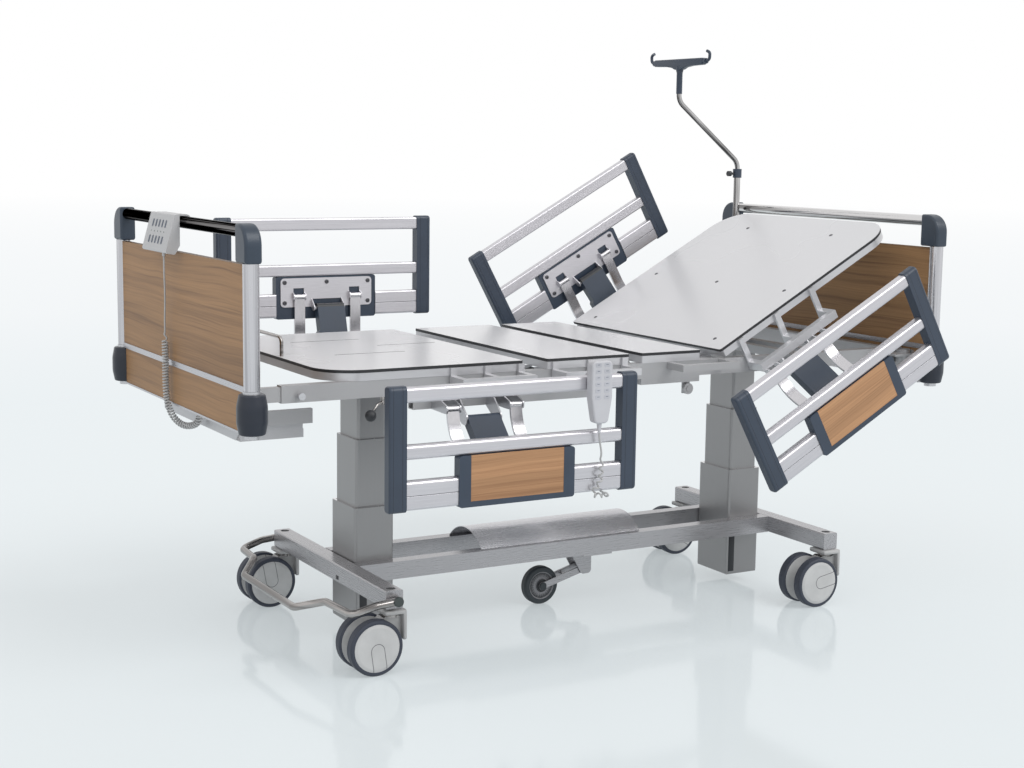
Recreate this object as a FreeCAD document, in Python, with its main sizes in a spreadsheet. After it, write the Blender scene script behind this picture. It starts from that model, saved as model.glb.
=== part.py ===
import FreeCAD, Part
import math
import os
import re
from types import SimpleNamespace

import Sketcher
from FreeCAD import Placement, Rotation, Vector

# Electric height-adjustable ward bed, in millimetres.
# +X points to the head end, +Y to the far side and +Z up. The origin lies on the floor, in the middle.

SIZES = {
    # castors
    "wheel_radius": 75, "wheel_trail": 62, "tyre_width": 34, "wheel_gap": 40, "castor_y": 370,
    "castor_foot_x": -648, "castor_head_x": 821, "hub_radius": 64, "stem_radius": 21,
    # base
    "crossbar_wide": 50, "crossbar_half": 394, "base_bottom": 167, "base_high": 50,
    "beam_inner_y": 81, "beam_wide": 40, "tube_wall": 3,
    "cover_foot_x": -231, "cover_head_x": 317, "cover_rise": 46, "cover_thick": 2,
    "steer_pivot_x": 172, "steer_pivot_z": 98, "steer_arm": 152, "steer_radius": 58, "steer_wide": 32,
    "pedal_tube": 10.5, "pedal_z": 192, "pedal_reach": 199, "pedal_side_half": 262, "pedal_bow_half": 187,
    # lifting columns
    "column_foot_x": -561, "column_head_x": 727, "outer_long": 120, "outer_wide": 162,
    "middle_long": 102, "middle_wide": 140, "inner_long": 86, "inner_wide": 127,
    "outer_bottom": 38, "outer_top": 370, "middle_bottom": 236, "middle_top": 561,
    "inner_bottom": 424, "inner_top": 745, "inner_wall": 5, "glide_gap": 0.3, "flange_thick": 8,
    # upper frame
    "side_beam_y": 387, "side_beam_wide": 30, "side_beam_bottom": 734, "side_beam_high": 44,
    "side_beam_foot": -957, "side_beam_head": "=head_board_x - 17", "cross_high": 25,
    "carrier_foot": -600, "carrier_head": 10, "carrier_bottom": 694, "bearer_high": 17,
    "socket_x": "=head_board_x - 38", "socket_y": 430, "socket_radius": 21, "socket_bore": 17, "socket_top": 776,
    # mattress platform
    "board_top": 807, "board_thick": 8, "board_half": 404, "rim_thick": 12, "rim_bottom": 778.3,
    "leg_foot": -843, "leg_head": -274, "thigh_foot": -199, "thigh_head": 66,
    "seat_foot": 107, "seat_head": 308, "leg_corner": 110, "back_corner": 100,
    "wing_out": 76, "wing_y": "=board_half + wing_out", "wing_bar": 18, "wing_bottom": 758, "wing_high": 19,
    "hinge_x": 86, "knee_x": -236, "hinge_z": 772, "hinge_pin": 5, "knuckle_radius": 10,
    # backrest
    "back_pivot_x": 393, "back_pivot_z": 760, "back_angle": 29, "back_foot": 6, "back_rim_foot": 14,
    "back_length": 728, "back_top": 47,
    "back_tube": 15, "back_wing_foot": 71, "back_wing_head": 375, "back_wing_top": -35, "back_wing_high": 25,
    "back_wing_out": 66, "back_wing_y": "=board_half + back_wing_out",
    # side rails
    "rail_length": 714, "rail_above_pivot": 244, "rail_below_pivot": 67, "rail_outer": 36, "rail_cap": 47,
    "rail_bar_inner": 6, "rail_bar_deep": 28, "rail_arm": 208, "rail_up": 15.8, "rail_swing": 120,
    "rail_out": 79, "rail_pivot_y": "=board_half + rail_out", "foot_rail_x": -435, "foot_rail_z": 704, "head_rail_along": 196,
    "head_rail_off": -70.5, "arm_wide": 34, "arm_thick": 8, "arm_at": 93, "arm_bow": 41.5, "arm_bow_at": 61,
    "arm_pin": 6, "link_half": 48, "link_thick": 28, "link_in": -10, "link_down": -35, "link_pin": 5,
    "pin_gap": 0.05, "side_gap": 0.3, "housing_half": 166.5, "housing_top": 61.7, "housing_inner": 9, "housing_outer": 37.5,
    "inset_half": 134, "inset_bottom": -54.5, "inset_deep": 4, "plate_half": 152, "plate_thick": 3,
    # end boards
    "foot_board_x": -1083, "head_clear": 53.28,
    "head_board_x": "=back_pivot_x + back_length * cos(back_angle) + head_clear", "post_y": 512, "post_radius": 20, "post_bottom": 788,
    "post_top": 1092, "handrail_z": 1167, "handrail_radius": 16, "panel_top": 1088, "panel_thick": 18,
    "trim_high": 15, "spigot_radius": 12, "spigot_long": 85, "bumper_radius": 38, "bumper_bottom": 682,
    "bumper_top": 781, "lower_panel_bottom": 682,
    # foot extension and shelf
    "extension_inner_end": -720, "clamp_x": -918, "lever_x": -676, "clamp_radius": 5, "shelf_half": 301, "shelf_foot": -1038, "shelf_head": -866,
    "shelf_bottom": 627, "runner_bottom": 665, "runner_high": 38, "runner_head": -846,
    # infusion pole
    "pole_radius": 11, "pole_inner": 8.3, "pole_wall": 2.6, "pole_joint": 1298, "pole_bend": 1324,
    "pole_lean": 252, "pole_lean_z": 1526, "hook_bar_z": 1654, "hook_half": 150,
    # hand controls
    "handset_x": -205, "cord_seat": 0.3, "handset_wide": 62, "handset_top": 836, "handset_long": 162, "handset_thick": 26,
    "staff_y": 56, "staff_wide": 200, "staff_high": 104, "staff_thick": 26,
    "cord_radius": 2.5, "coil_radius": 9,
}

doc = FreeCAD.newDocument("ward_bed")
sheet = doc.addObject("Spreadsheet::Sheet", "sizes")
for row, (alias, value) in enumerate(SIZES.items(), start=1):
    sheet.set(f"A{row}", alias)
    sheet.set(f"B{row}", str(value))
    sheet.setAlias(f"B{row}", alias)
doc.recompute()
v = SimpleNamespace(**{alias: float(sheet.get(alias)) for alias in SIZES})
PLANES = {"xy": "XY_Plane", "xz": "XZ_Plane", "yz": "YZ_Plane"}
NEAR, FAR = -1, 1
SIDES = {"near": NEAR, "far": FAR}
nodes = {}


# Helpers: bound primitives

def bind(item, prop, text):
    """Bind a property to an expression whose plain words are cells of the sheet."""
    words = re.sub(r"[a-z][a-z_]+", lambda found: f"sizes.{found[0]}" if found[0] in SIZES else found[0], text)
    item.setExpression(prop, words)


def box(name, x, y, z):
    """A block between two planes per axis, each given as an expression."""
    block = doc.addObject("Part::Box", name)
    for size, place, (low, high) in (("Length", "x", x), ("Width", "y", y), ("Height", "z", z)):
        bind(block, size, f"({high}) - ({low})")
        bind(block, f"Placement.Base.{place}", low)
    return block


def rod(name, axis, radius, span, centre):
    """A cylinder along one axis, from span[0] to span[1], centred on the other two coordinates."""
    bar = doc.addObject("Part::Cylinder", name)
    turn = {"x": Rotation(Vector(0, 1, 0), 90), "y": Rotation(Vector(1, 0, 0), -90), "z": Rotation()}
    bar.Placement = Placement(Vector(), turn[axis])
    bind(bar, "Radius", radius)
    bind(bar, "Height", f"({span[1]}) - ({span[0]})")
    others = [letter for letter in "xyz" if letter != axis]
    bind(bar, f"Placement.Base.{axis}", span[0])
    for letter, text in zip(others, centre):
        bind(bar, f"Placement.Base.{letter}", text)
    return bar


def cut(name, base, *tools):
    """The base with every tool taken away."""
    for number, tool in enumerate(tools):
        step = doc.addObject("Part::Cut", f"{name}_cut_{number}")
        step.Base, step.Tool = base, tool
        base = step
    return base


def fuse(name, *pieces):
    """One solid of several that meet."""
    union = doc.addObject("Part::MultiFuse", name)
    union.Shapes = list(pieces)
    union.Refine = True
    return union


def tube(name, axis, radius, bore, span, centre):
    """A round tube, open at both ends."""
    outer = rod(f"{name}_outer", axis, radius, span, centre)
    hole = rod(f"{name}_bore", axis, bore, (f"{span[0]} - 1", f"{span[1]} + 1"), centre)
    return cut(name, outer, hole)


def hollow(name, x, y, z, wall, open_axis):
    """A rectangular hollow section, open at both ends along one axis."""
    inside = {}
    for letter, (low, high) in (("x", x), ("y", y), ("z", z)):
        if letter == open_axis:
            inside[letter] = (f"{low} - 1", f"{high} + 1")
        else:
            inside[letter] = (f"{low} + {wall}", f"{high} - ({wall})")
    return cut(name, box(f"{name}_outer", x, y, z), box(f"{name}_inside", *(inside[a] for a in "xyz")))


def across(side, inner, outer):
    """The y span of something between two distances from the centre line, on one side."""
    return (inner, outer) if side == FAR else (f"-({outer})", f"-({inner})")


# Helpers: sketched features

def rounded(points):
    """Line and arc edges of a closed outline; each point is (a, b) or (a, b, corner radius)."""
    corners = []
    count = len(points)
    for number, point in enumerate(points):
        here = Vector(point[0], point[1], 0)
        radius = point[2] if len(point) > 2 else 0
        if not radius:
            corners.append((here, here, None))
            continue
        before = (Vector(*points[number - 1][:2], 0) - here).normalize()
        after = (Vector(*points[(number + 1) % count][:2], 0) - here).normalize()
        half = before.getAngle(after) / 2
        reach = radius / math.tan(half)
        inward = (before + after).normalize()
        middle = here + inward * (radius / math.sin(half) - radius)
        corners.append((here + before * reach, here + after * reach, middle))
    edges = []
    for number, (start, end, middle) in enumerate(corners):
        if middle is not None:
            edges.append(Part.Arc(start, middle, end))
        following = corners[(number + 1) % count][0]
        if (following - end).Length > 1e-6:
            edges.append(Part.LineSegment(end, following))
    return edges


def sketch(body, name, plane, loops, offset=0.0):
    """A sketch on one of the body's own planes; a loop is an outline or ('circle', a, b, radius)."""
    drawing = body.newObject("Sketcher::SketchObject", name)
    support = [part for part in body.Origin.OriginFeatures if part.Role == PLANES[plane]][0]
    drawing.AttachmentSupport = [(support, "")]
    drawing.MapMode = "FlatFace"
    drawing.AttachmentOffset = Placement(Vector(0, 0, offset), Rotation())
    for loop in loops:
        if loop[0] == "circle":
            circle = Part.Circle(Vector(loop[1], loop[2], 0), Vector(0, 0, 1), loop[3])
            drawing.addGeometry(circle, False)
        else:
            for edge in rounded(loop):
                drawing.addGeometry(edge, False)
    return drawing


def pad(name, plane, loops, low, high):
    """A body padded from a sketch, from low to high along the plane's own +axis."""
    body = doc.addObject("PartDesign::Body", name)
    # the XZ plane faces -Y, so its pads start at the far end
    start = -high if plane == "xz" else low
    drawing = sketch(body, f"{name}_sketch", plane, loops, start)
    solid = body.newObject("PartDesign::Pad", f"{name}_pad")
    solid.Profile = drawing
    solid.Length = high - low
    body.Tip = solid
    drawing.Visibility = False
    return body


def pocket(body, name, plane, loops, low, high):
    """Cut a sketched shape out of the body between two planes."""
    start = -high if plane == "xz" else low
    drawing = sketch(body, f"{name}_sketch", plane, loops, start)
    recess = body.newObject("PartDesign::Pocket", name)
    recess.Profile = drawing
    recess.Length = high - low
    recess.Reversed = True
    body.Tip = recess
    return body


def turned(name, outline, place):
    """A body of revolution about its own Z axis; the outline is in (radius, height)."""
    body = doc.addObject("PartDesign::Body", name)
    drawing = sketch(body, f"{name}_sketch", "xz", [outline])
    solid = body.newObject("PartDesign::Revolution", f"{name}_turn")
    solid.Profile = drawing
    solid.ReferenceAxis = (drawing, ["V_Axis"])
    solid.Angle = 360
    body.Tip = solid
    body.Placement = place
    return body


def soften(name, base, radius, chosen):
    """Fillet the edges that the test function picks."""
    doc.recompute()
    step = doc.addObject("Part::Fillet", name)
    step.Base = base
    picked = [number for number, edge in enumerate(base.Shape.Edges, start=1) if chosen(edge)]
    step.Edges = [(number, radius, radius) for number in picked]
    return step


def along(axis):
    """A test for straight edges that run along one axis."""
    direction = {"x": Vector(1, 0, 0), "y": Vector(0, 1, 0), "z": Vector(0, 0, 1)}[axis]

    def test(edge):
        if not isinstance(edge.Curve, Part.Line):
            return False
        run = edge.Vertexes[-1].Point - edge.Vertexes[0].Point
        return run.Length > 1 and run.cross(direction).Length < 1e-3 * run.Length

    return test


def ribbon(points, radii, half):
    """The outline of a flat bar that follows a bent line: one offset side out, the other back."""
    path = [Vector(a, b, 0) for a, b in points]
    sides = []
    for sign in (1, -1):
        run = []
        for number, here in enumerate(path):
            ahead = (path[min(number + 1, len(path) - 1)] - path[min(number, len(path) - 2)]).normalize()
            behind = (path[max(number, 1)] - path[max(number, 1) - 1]).normalize()
            normal_ahead = Vector(-ahead.y, ahead.x, 0) * sign
            normal_behind = Vector(-behind.y, behind.x, 0) * sign
            blend = (normal_ahead + normal_behind).normalize()
            corner = here + blend * (half / blend.dot(normal_ahead))
            turn = behind.cross(ahead).z * sign
            radius = radii[number]
            if radius:
                radius += -half if turn > 0 else half
            run.append((corner.x, corner.y, radius))
        sides.append(run)
    return sides[0] + sides[1][::-1]


def bent_path(points, radii=None):
    """A wire of straight runs joined by tangent arcs; radii default to the largest that fit."""
    places = [Vector(*point) for point in points]
    edges = []
    start = places[0]
    used = []
    for number in range(1, len(places) - 1):
        here = places[number]
        before = places[number - 1] - here
        after = places[number + 1] - here
        half_turn = (math.pi - before.getAngle(after)) / 2
        shorter = min(before.Length, after.Length)
        radius = radii[number - 1] if radii else 0.45 * shorter / math.tan(half_turn)
        reach = radius * math.tan(half_turn)
        entry = here + before.normalize() * reach
        leave = here + after.normalize() * reach
        inward = (before + after).normalize()
        middle = here + inward * (radius / math.cos(half_turn) - radius)
        edges.append(Part.LineSegment(start, entry).toShape())
        edges.append(Part.Arc(entry, middle, leave).toShape())
        start = leave
        used.append(round(radius, 1))
    edges.append(Part.LineSegment(start, places[-1]).toShape())
    return Part.Wire(edges), used


def pipe(name, points, radius, radii=None):
    """A round bar or cord swept along a bent path."""
    wire, used = bent_path(points, radii)
    first = wire.Edges[0]
    ring = Part.Circle(first.Vertexes[0].Point, first.tangentAt(first.FirstParameter), radius).toShape()
    solid = wire.makePipeShell([Part.Wire([ring])], True, True)
    expected = math.pi * radius ** 2 * wire.Length
    assert abs(solid.Volume / expected - 1) < 0.02, name
    item = doc.addObject("Part::Feature", name)
    item.Shape = solid
    print(name, "length", round(wire.Length), "bend radii", used)
    return item


def node(name, pieces, place=None):
    """Gather the solids of one sub-part; its label names its file."""
    group = doc.addObject("Part::Compound", name)
    group.Links = list(pieces)
    group.Label = name
    if place is not None:
        group.Placement = place
    nodes[name] = group
    return group


def tilt_about_y(degrees):
    """A turn that lifts the +X side by this angle."""
    return Rotation(Vector(0, 1, 0), -degrees)


# Castors

def castors():
    ends = {"foot": v.castor_foot_x, "head": v.castor_head_x}
    for end, x in ends.items():
        for side_name, side in SIDES.items():
            place = Placement(Vector(x, side * v.castor_y, 0), Rotation())
            label = f"{end}_{side_name}"
            half_gap = v.wheel_gap / 2 - 1
            leg = pad(f"fork_leg_{label}", "xz", [[
                (-v.wheel_trail - 26, v.wheel_radius - 22, 12), (-v.wheel_trail + 30, v.wheel_radius - 26, 12),
                (26, v.wheel_radius + 10, 14), (26, v.base_bottom - 20, 6),
                (-26, v.base_bottom - 20, 16), (-v.wheel_trail - 26, v.wheel_radius + 24, 20)]],
                -half_gap, half_gap)
            stem = rod(f"fork_stem_{label}", "z", "stem_radius", ("base_bottom - 24", "base_bottom - 1"),
                       ("0", "0"))
            shank = rod(f"fork_shank_{label}", "z", "12", ("base_bottom - 24", "base_bottom + 28"), ("0", "0"))
            axle = rod(f"fork_axle_{label}", "y", "8",
                       ("-wheel_gap / 2 - tyre_width + 8", "wheel_gap / 2 + tyre_width - 8"),
                       ("-wheel_trail", "wheel_radius"))
            node(f"caster_fork_{label}", [fuse(f"fork_{label}", leg, stem, shank, axle)], place)
            wheels = []
            for inner in (FAR, NEAR):
                outline = [
                    (8.05, 0), (v.wheel_radius - 5, 0, 1.5), (v.wheel_radius, 5, 3),
                    (v.wheel_radius, v.tyre_width - 6, 3), (v.wheel_radius - 4, v.tyre_width - 2, 1.5),
                    (v.hub_radius + 1, v.tyre_width - 2), (v.hub_radius, v.tyre_width - 3),
                    (v.hub_radius - 8, v.tyre_width, 4), (0, v.tyre_width), (0, v.tyre_width - 7),
                    (8.05, v.tyre_width - 7)]
                at = Placement(Vector(-v.wheel_trail, inner * v.wheel_gap / 2, v.wheel_radius),
                               Rotation(Vector(1, 0, 0), -90 * inner))
                wheels.append(turned(f"wheel_{label}_{'outer' if inner == side else 'inner'}", outline, at))
            node(f"caster_wheels_{label}", wheels, place)


# Base

def base():
    top = "base_bottom + base_high"
    bars = []
    for end in ("foot", "head"):
        x = f"castor_{end}_x"
        bar = box(f"crossbar_{end}", (f"{x} - crossbar_wide / 2", f"{x} + crossbar_wide / 2"),
                  ("-crossbar_half", "crossbar_half"), ("base_bottom", top))
        inside = box(f"crossbar_inside_{end}",
                     (f"{x} - crossbar_wide / 2 + tube_wall", f"{x} + crossbar_wide / 2 - tube_wall"),
                     ("-castor_y + 40", "castor_y - 40"), ("base_bottom + tube_wall", f"{top} - tube_wall"))
        holes = [rod(f"castor_hole_{end}_{name}", "z", "12.1", ("base_bottom - 1", "base_bottom + 30"),
                     (x, f"{side} * castor_y")) for name, side in SIDES.items()]
        recesses = [rod(f"cap_recess_{end}_{name}", "z", "13", (f"{top} - 2", f"{top} + 1"),
                        (x, f"{side} * castor_y")) for name, side in SIDES.items()]
        bored = cut(f"crossbar_{end}_bored", bar, inside, *holes, *recesses)
        bars.append(soften(f"crossbar_{end}_soft", bored, 4,
                           lambda edge: along("y")(edge) and edge.Length > 2 * v.crossbar_half - 1))
    for name, side in SIDES.items():
        bars.append(hollow(f"long_beam_{name}",
                           ("castor_foot_x + crossbar_wide / 2", "castor_head_x - crossbar_wide / 2"),
                           across(side, "beam_inner_y", "beam_inner_y + beam_wide"),
                           ("base_bottom", top), "tube_wall", "x"))
    plate = box("steer_plate", ("steer_pivot_x - 66", "steer_pivot_x + 34"),
                ("-beam_inner_y - beam_wide", "beam_inner_y + beam_wide"), ("base_bottom - 5", "base_bottom"))
    cheek_y = v.steer_wide / 2 + 8
    for name, side in SIDES.items():
        inner, outer = sorted((side * cheek_y, side * (cheek_y + 4)))
        cheek = pad(f"steer_cheek_{name}", "xz", [[
            (v.steer_pivot_x - 58, v.base_bottom - 5), (v.steer_pivot_x + 20, v.base_bottom - 5, 8),
            (v.steer_pivot_x + 20, v.steer_pivot_z - 16, 12), (v.steer_pivot_x - 14, v.steer_pivot_z - 16, 12)]],
            inner, outer)
        bars.append(cheek)
    pin = rod("steer_pin", "y", "6", (f"-{cheek_y}", f"{cheek_y}"), ("steer_pivot_x", "steer_pivot_z"))
    pedal_pins = [rod(f"pedal_shaft_{name}", "y", "7", across(side, "crossbar_half", "crossbar_half + 18"),
                      ("castor_foot_x", "pedal_z")) for name, side in SIDES.items()]
    node("base_frame", bars + [plate, pin] + pedal_pins)

    half = v.beam_inner_y + v.beam_wide / 2
    rise = v.cover_rise
    low = v.base_bottom + v.base_high
    arch_radius = (half ** 2 + rise ** 2) / (2 * rise)
    cover = doc.addObject("PartDesign::Body", "arched_cover")
    drawing = cover.newObject("Sketcher::SketchObject", "arched_cover_sketch")
    support = [part for part in cover.Origin.OriginFeatures if part.Role == "YZ_Plane"][0]
    drawing.AttachmentSupport = [(support, "")]
    drawing.MapMode = "FlatFace"
    drawing.AttachmentOffset = Placement(Vector(0, 0, v.cover_foot_x), Rotation())
    outer = Part.Arc(Vector(-half, low, 0), Vector(0, low + rise, 0), Vector(half, low, 0))
    inset = v.cover_thick
    inner = Part.Arc(Vector(half - inset, low, 0), Vector(0, low + rise - inset, 0), Vector(inset - half, low, 0))
    for edge in (outer, Part.LineSegment(Vector(half, low, 0), Vector(half - inset, low, 0)), inner,
                 Part.LineSegment(Vector(inset - half, low, 0), Vector(-half, low, 0))):
        drawing.addGeometry(edge, False)
    sheet_pad = cover.newObject("PartDesign::Pad", "arched_cover_pad")
    sheet_pad.Profile = drawing
    bind(sheet_pad, "Length", "cover_head_x - cover_foot_x")
    cover.Tip = sheet_pad
    print("cover arc radius", round(arch_radius, 1))
    node("base_cover", [cover])


def steering_wheel():
    """The fifth wheel on its trailing arm, with its hub on the centre line."""
    drop = v.steer_pivot_z - v.steer_radius - 0.3
    back = math.sqrt(v.steer_arm ** 2 - drop ** 2)
    hub = (v.steer_pivot_x - back, v.steer_radius + 0.3)
    half = v.steer_wide / 2
    arms = []
    for name, side in SIDES.items():
        inner, outer = sorted((side * (half + 1), side * (half + 6)))
        outline = ribbon([(v.steer_pivot_x, v.steer_pivot_z), hub], [0, 0], 10)
        arm = pad(f"steer_arm_{name}", "xz", [outline], inner, outer)
        ends = [rod(f"steer_arm_{name}_{end}", "y", "12", (f"{inner}", f"{outer}"), (f"{x}", f"{z}"))
                for end, x, z in (("pivot", v.steer_pivot_x, v.steer_pivot_z), ("hub", *hub))]
        hole = rod(f"steer_arm_{name}_hole", "y", "6.05", (f"{inner - 1}", f"{outer + 1}"),
                   ("steer_pivot_x", "steer_pivot_z"))
        arms.append(cut(f"steer_arm_{name}_bored", fuse(f"steer_arm_{name}_whole", arm, *ends), hole))
    axle = rod("steer_axle", "y", "6", (f"{-half - 1}", f"{half + 1}"), (f"{hub[0]}", f"{hub[1]}"))
    bridge = rod("steer_bridge", "y", "5", (f"{-half - 1}", f"{half + 1}"),
                 (f"{v.steer_pivot_x - 60}", f"{v.steer_pivot_z - 60 * drop / back}"))
    node("fifth_wheel_arm", [fuse("steer_fork", *arms, axle, bridge)])
    outline = [(6.05, -half), (20, -half), (22, -half + 4, 2), (v.steer_radius - 18, -half + 4, 2),
               (v.steer_radius - 16, -half + 1), (v.steer_radius - 4, -half + 1, 4),
               (v.steer_radius, -half + 7, 5), (v.steer_radius, half - 7, 5),
               (v.steer_radius - 4, half - 1, 4), (v.steer_radius - 16, half - 1),
               (v.steer_radius - 18, half - 4, 2), (22, half - 4, 2), (20, half), (6.05, half)]
    place = Placement(Vector(hub[0], 0, hub[1]), Rotation(Vector(1, 0, 0), -90))
    node("fifth_wheel", [turned("steer_tyre", outline, place)])
    return hub


def pedal():
    """Tubular brake bow round the foot end, clamped on the stub shafts at both crossbar ends."""
    y = v.crossbar_half + 4.5 + v.pedal_tube
    x = v.castor_foot_x
    half = [(x + 14, y, v.pedal_z), (x - 60, y, v.pedal_z - 6), (x - 124, y - 8, v.pedal_z - 24),
            (x - 140, v.pedal_side_half, v.pedal_z - 20),
            (x - v.pedal_reach, v.pedal_bow_half, v.pedal_z - 47)]
    points = [(x, -side_y, z) for x, side_y, z in half] + [(x, side_y, z) for x, side_y, z in reversed(half)]
    bow = pipe("pedal_bow", points, v.pedal_tube, [60, 26, 30, 30, 30, 30, 26, 60])
    sockets = [rod(f"pedal_socket_{name}", "y", "7 + pin_gap", across(side, "crossbar_half", "crossbar_half + 19"),
                   ("castor_foot_x", "pedal_z")) for name, side in SIDES.items()]
    node("brake_pedal_bar", [cut("pedal_bow_drilled", bow, *sockets)])


# Lifting columns

def stage(name, x, outside, inside, bottom, top):
    """One rectangular telescope tube with rounded corners, open at the top."""
    def ring(size, radius):
        a, b = size[0] / 2, size[1] / 2
        return [(x - a, -b, radius), (x + a, -b, radius), (x + a, b, radius), (x - a, b, radius)]

    return pad(name, "xy", [ring(outside, 9), ring(inside, 3)], bottom, top)


def columns():
    outer = (v.outer_long, v.outer_wide)
    middle = (v.middle_long, v.middle_wide)
    inner = (v.inner_long, v.inner_wide)
    around_middle = tuple(size + 2 * v.glide_gap for size in middle)
    around_inner = tuple(size + 2 * v.glide_gap for size in inner)
    bore = tuple(size - 2 * v.inner_wall for size in inner)
    stages = {"outer": [], "middle": [], "inner": []}
    for end, x in (("foot", v.column_foot_x), ("head", v.column_head_x)):
        stages["outer"].append(stage(f"outer_{end}", x, outer, around_middle, v.outer_bottom, v.outer_top))
        stages["middle"].append(stage(f"middle_{end}", x, middle, around_inner, v.middle_bottom, v.middle_top))
        stages["inner"].append(stage(f"inner_{end}", x, inner, bore, v.inner_bottom, v.inner_top))
        foot_plate = box(f"foot_plate_{end}",
                         (f"column_{end}_x - outer_long / 2 + 3", f"column_{end}_x + outer_long / 2 - 3"),
                         ("-outer_wide / 2 + 3", "outer_wide / 2 - 3"), ("outer_bottom - 6", "outer_bottom"))
        flange = box(f"top_flange_{end}",
                     (f"column_{end}_x - outer_long / 2", f"column_{end}_x + outer_long / 2"),
                     ("-outer_wide / 2", "outer_wide / 2"), ("inner_top", "inner_top + flange_thick"))
        stages["outer"].append(foot_plate)
        stages["inner"].append(flange)
    node("column_outer_tubes", stages["outer"])
    node("column_middle_tubes", stages["middle"])
    node("column_inner_tubes", stages["inner"])


# Upper frame

def bracket_set(name, place, root, low, high):
    """Hanging plates and pins of one rail linkage, in the frame of its lower pivot.

    root gives the near and far edge of the plates where they meet the carrier, from low to high.
    """
    pieces = []
    reach = v.arm_wide / 2
    carried = [(root[0], low), (root[0], high), (root[1], high)]
    arm_plate = carried + [(10, 8, 8), (10, -12, 9), (-12, -12, 9)]
    link_plate = carried + [(v.link_in + 13, v.link_down + 12, 10), (v.link_in + 11, v.link_down - 13, 11),
                            (v.link_in - 15, v.link_down - 11, 11)]
    for side_name, side in SIDES.items():
        edges = {"inner": v.arm_at - reach - v.side_gap - 4, "outer": v.arm_at + reach + v.side_gap}
        for edge, start in edges.items():
            span = sorted((side * start, side * (start + 4)))
            pieces.append(pad(f"{name}_arm_plate_{side_name}_{edge}", "yz", [arm_plate], *span))
        start = v.link_half + v.side_gap
        span = sorted((side * start, side * (start + 4)))
        pieces.append(pad(f"{name}_link_plate_{side_name}", "yz", [link_plate], *span))
        pieces.append(rod(f"{name}_arm_pin_{side_name}", "x", "arm_pin",
                          (f"{side} * arm_at - arm_wide / 2 - side_gap", f"{side} * arm_at + arm_wide / 2 + side_gap"),
                          ("0", "0")))
    pieces.append(rod(f"{name}_link_pin", "x", "link_pin", ("-link_half - side_gap", "link_half + side_gap"),
                      ("link_in", "link_down")))
    group = doc.addObject("Part::Compound", name)
    group.Links = pieces
    group.Placement = place
    return group


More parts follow.
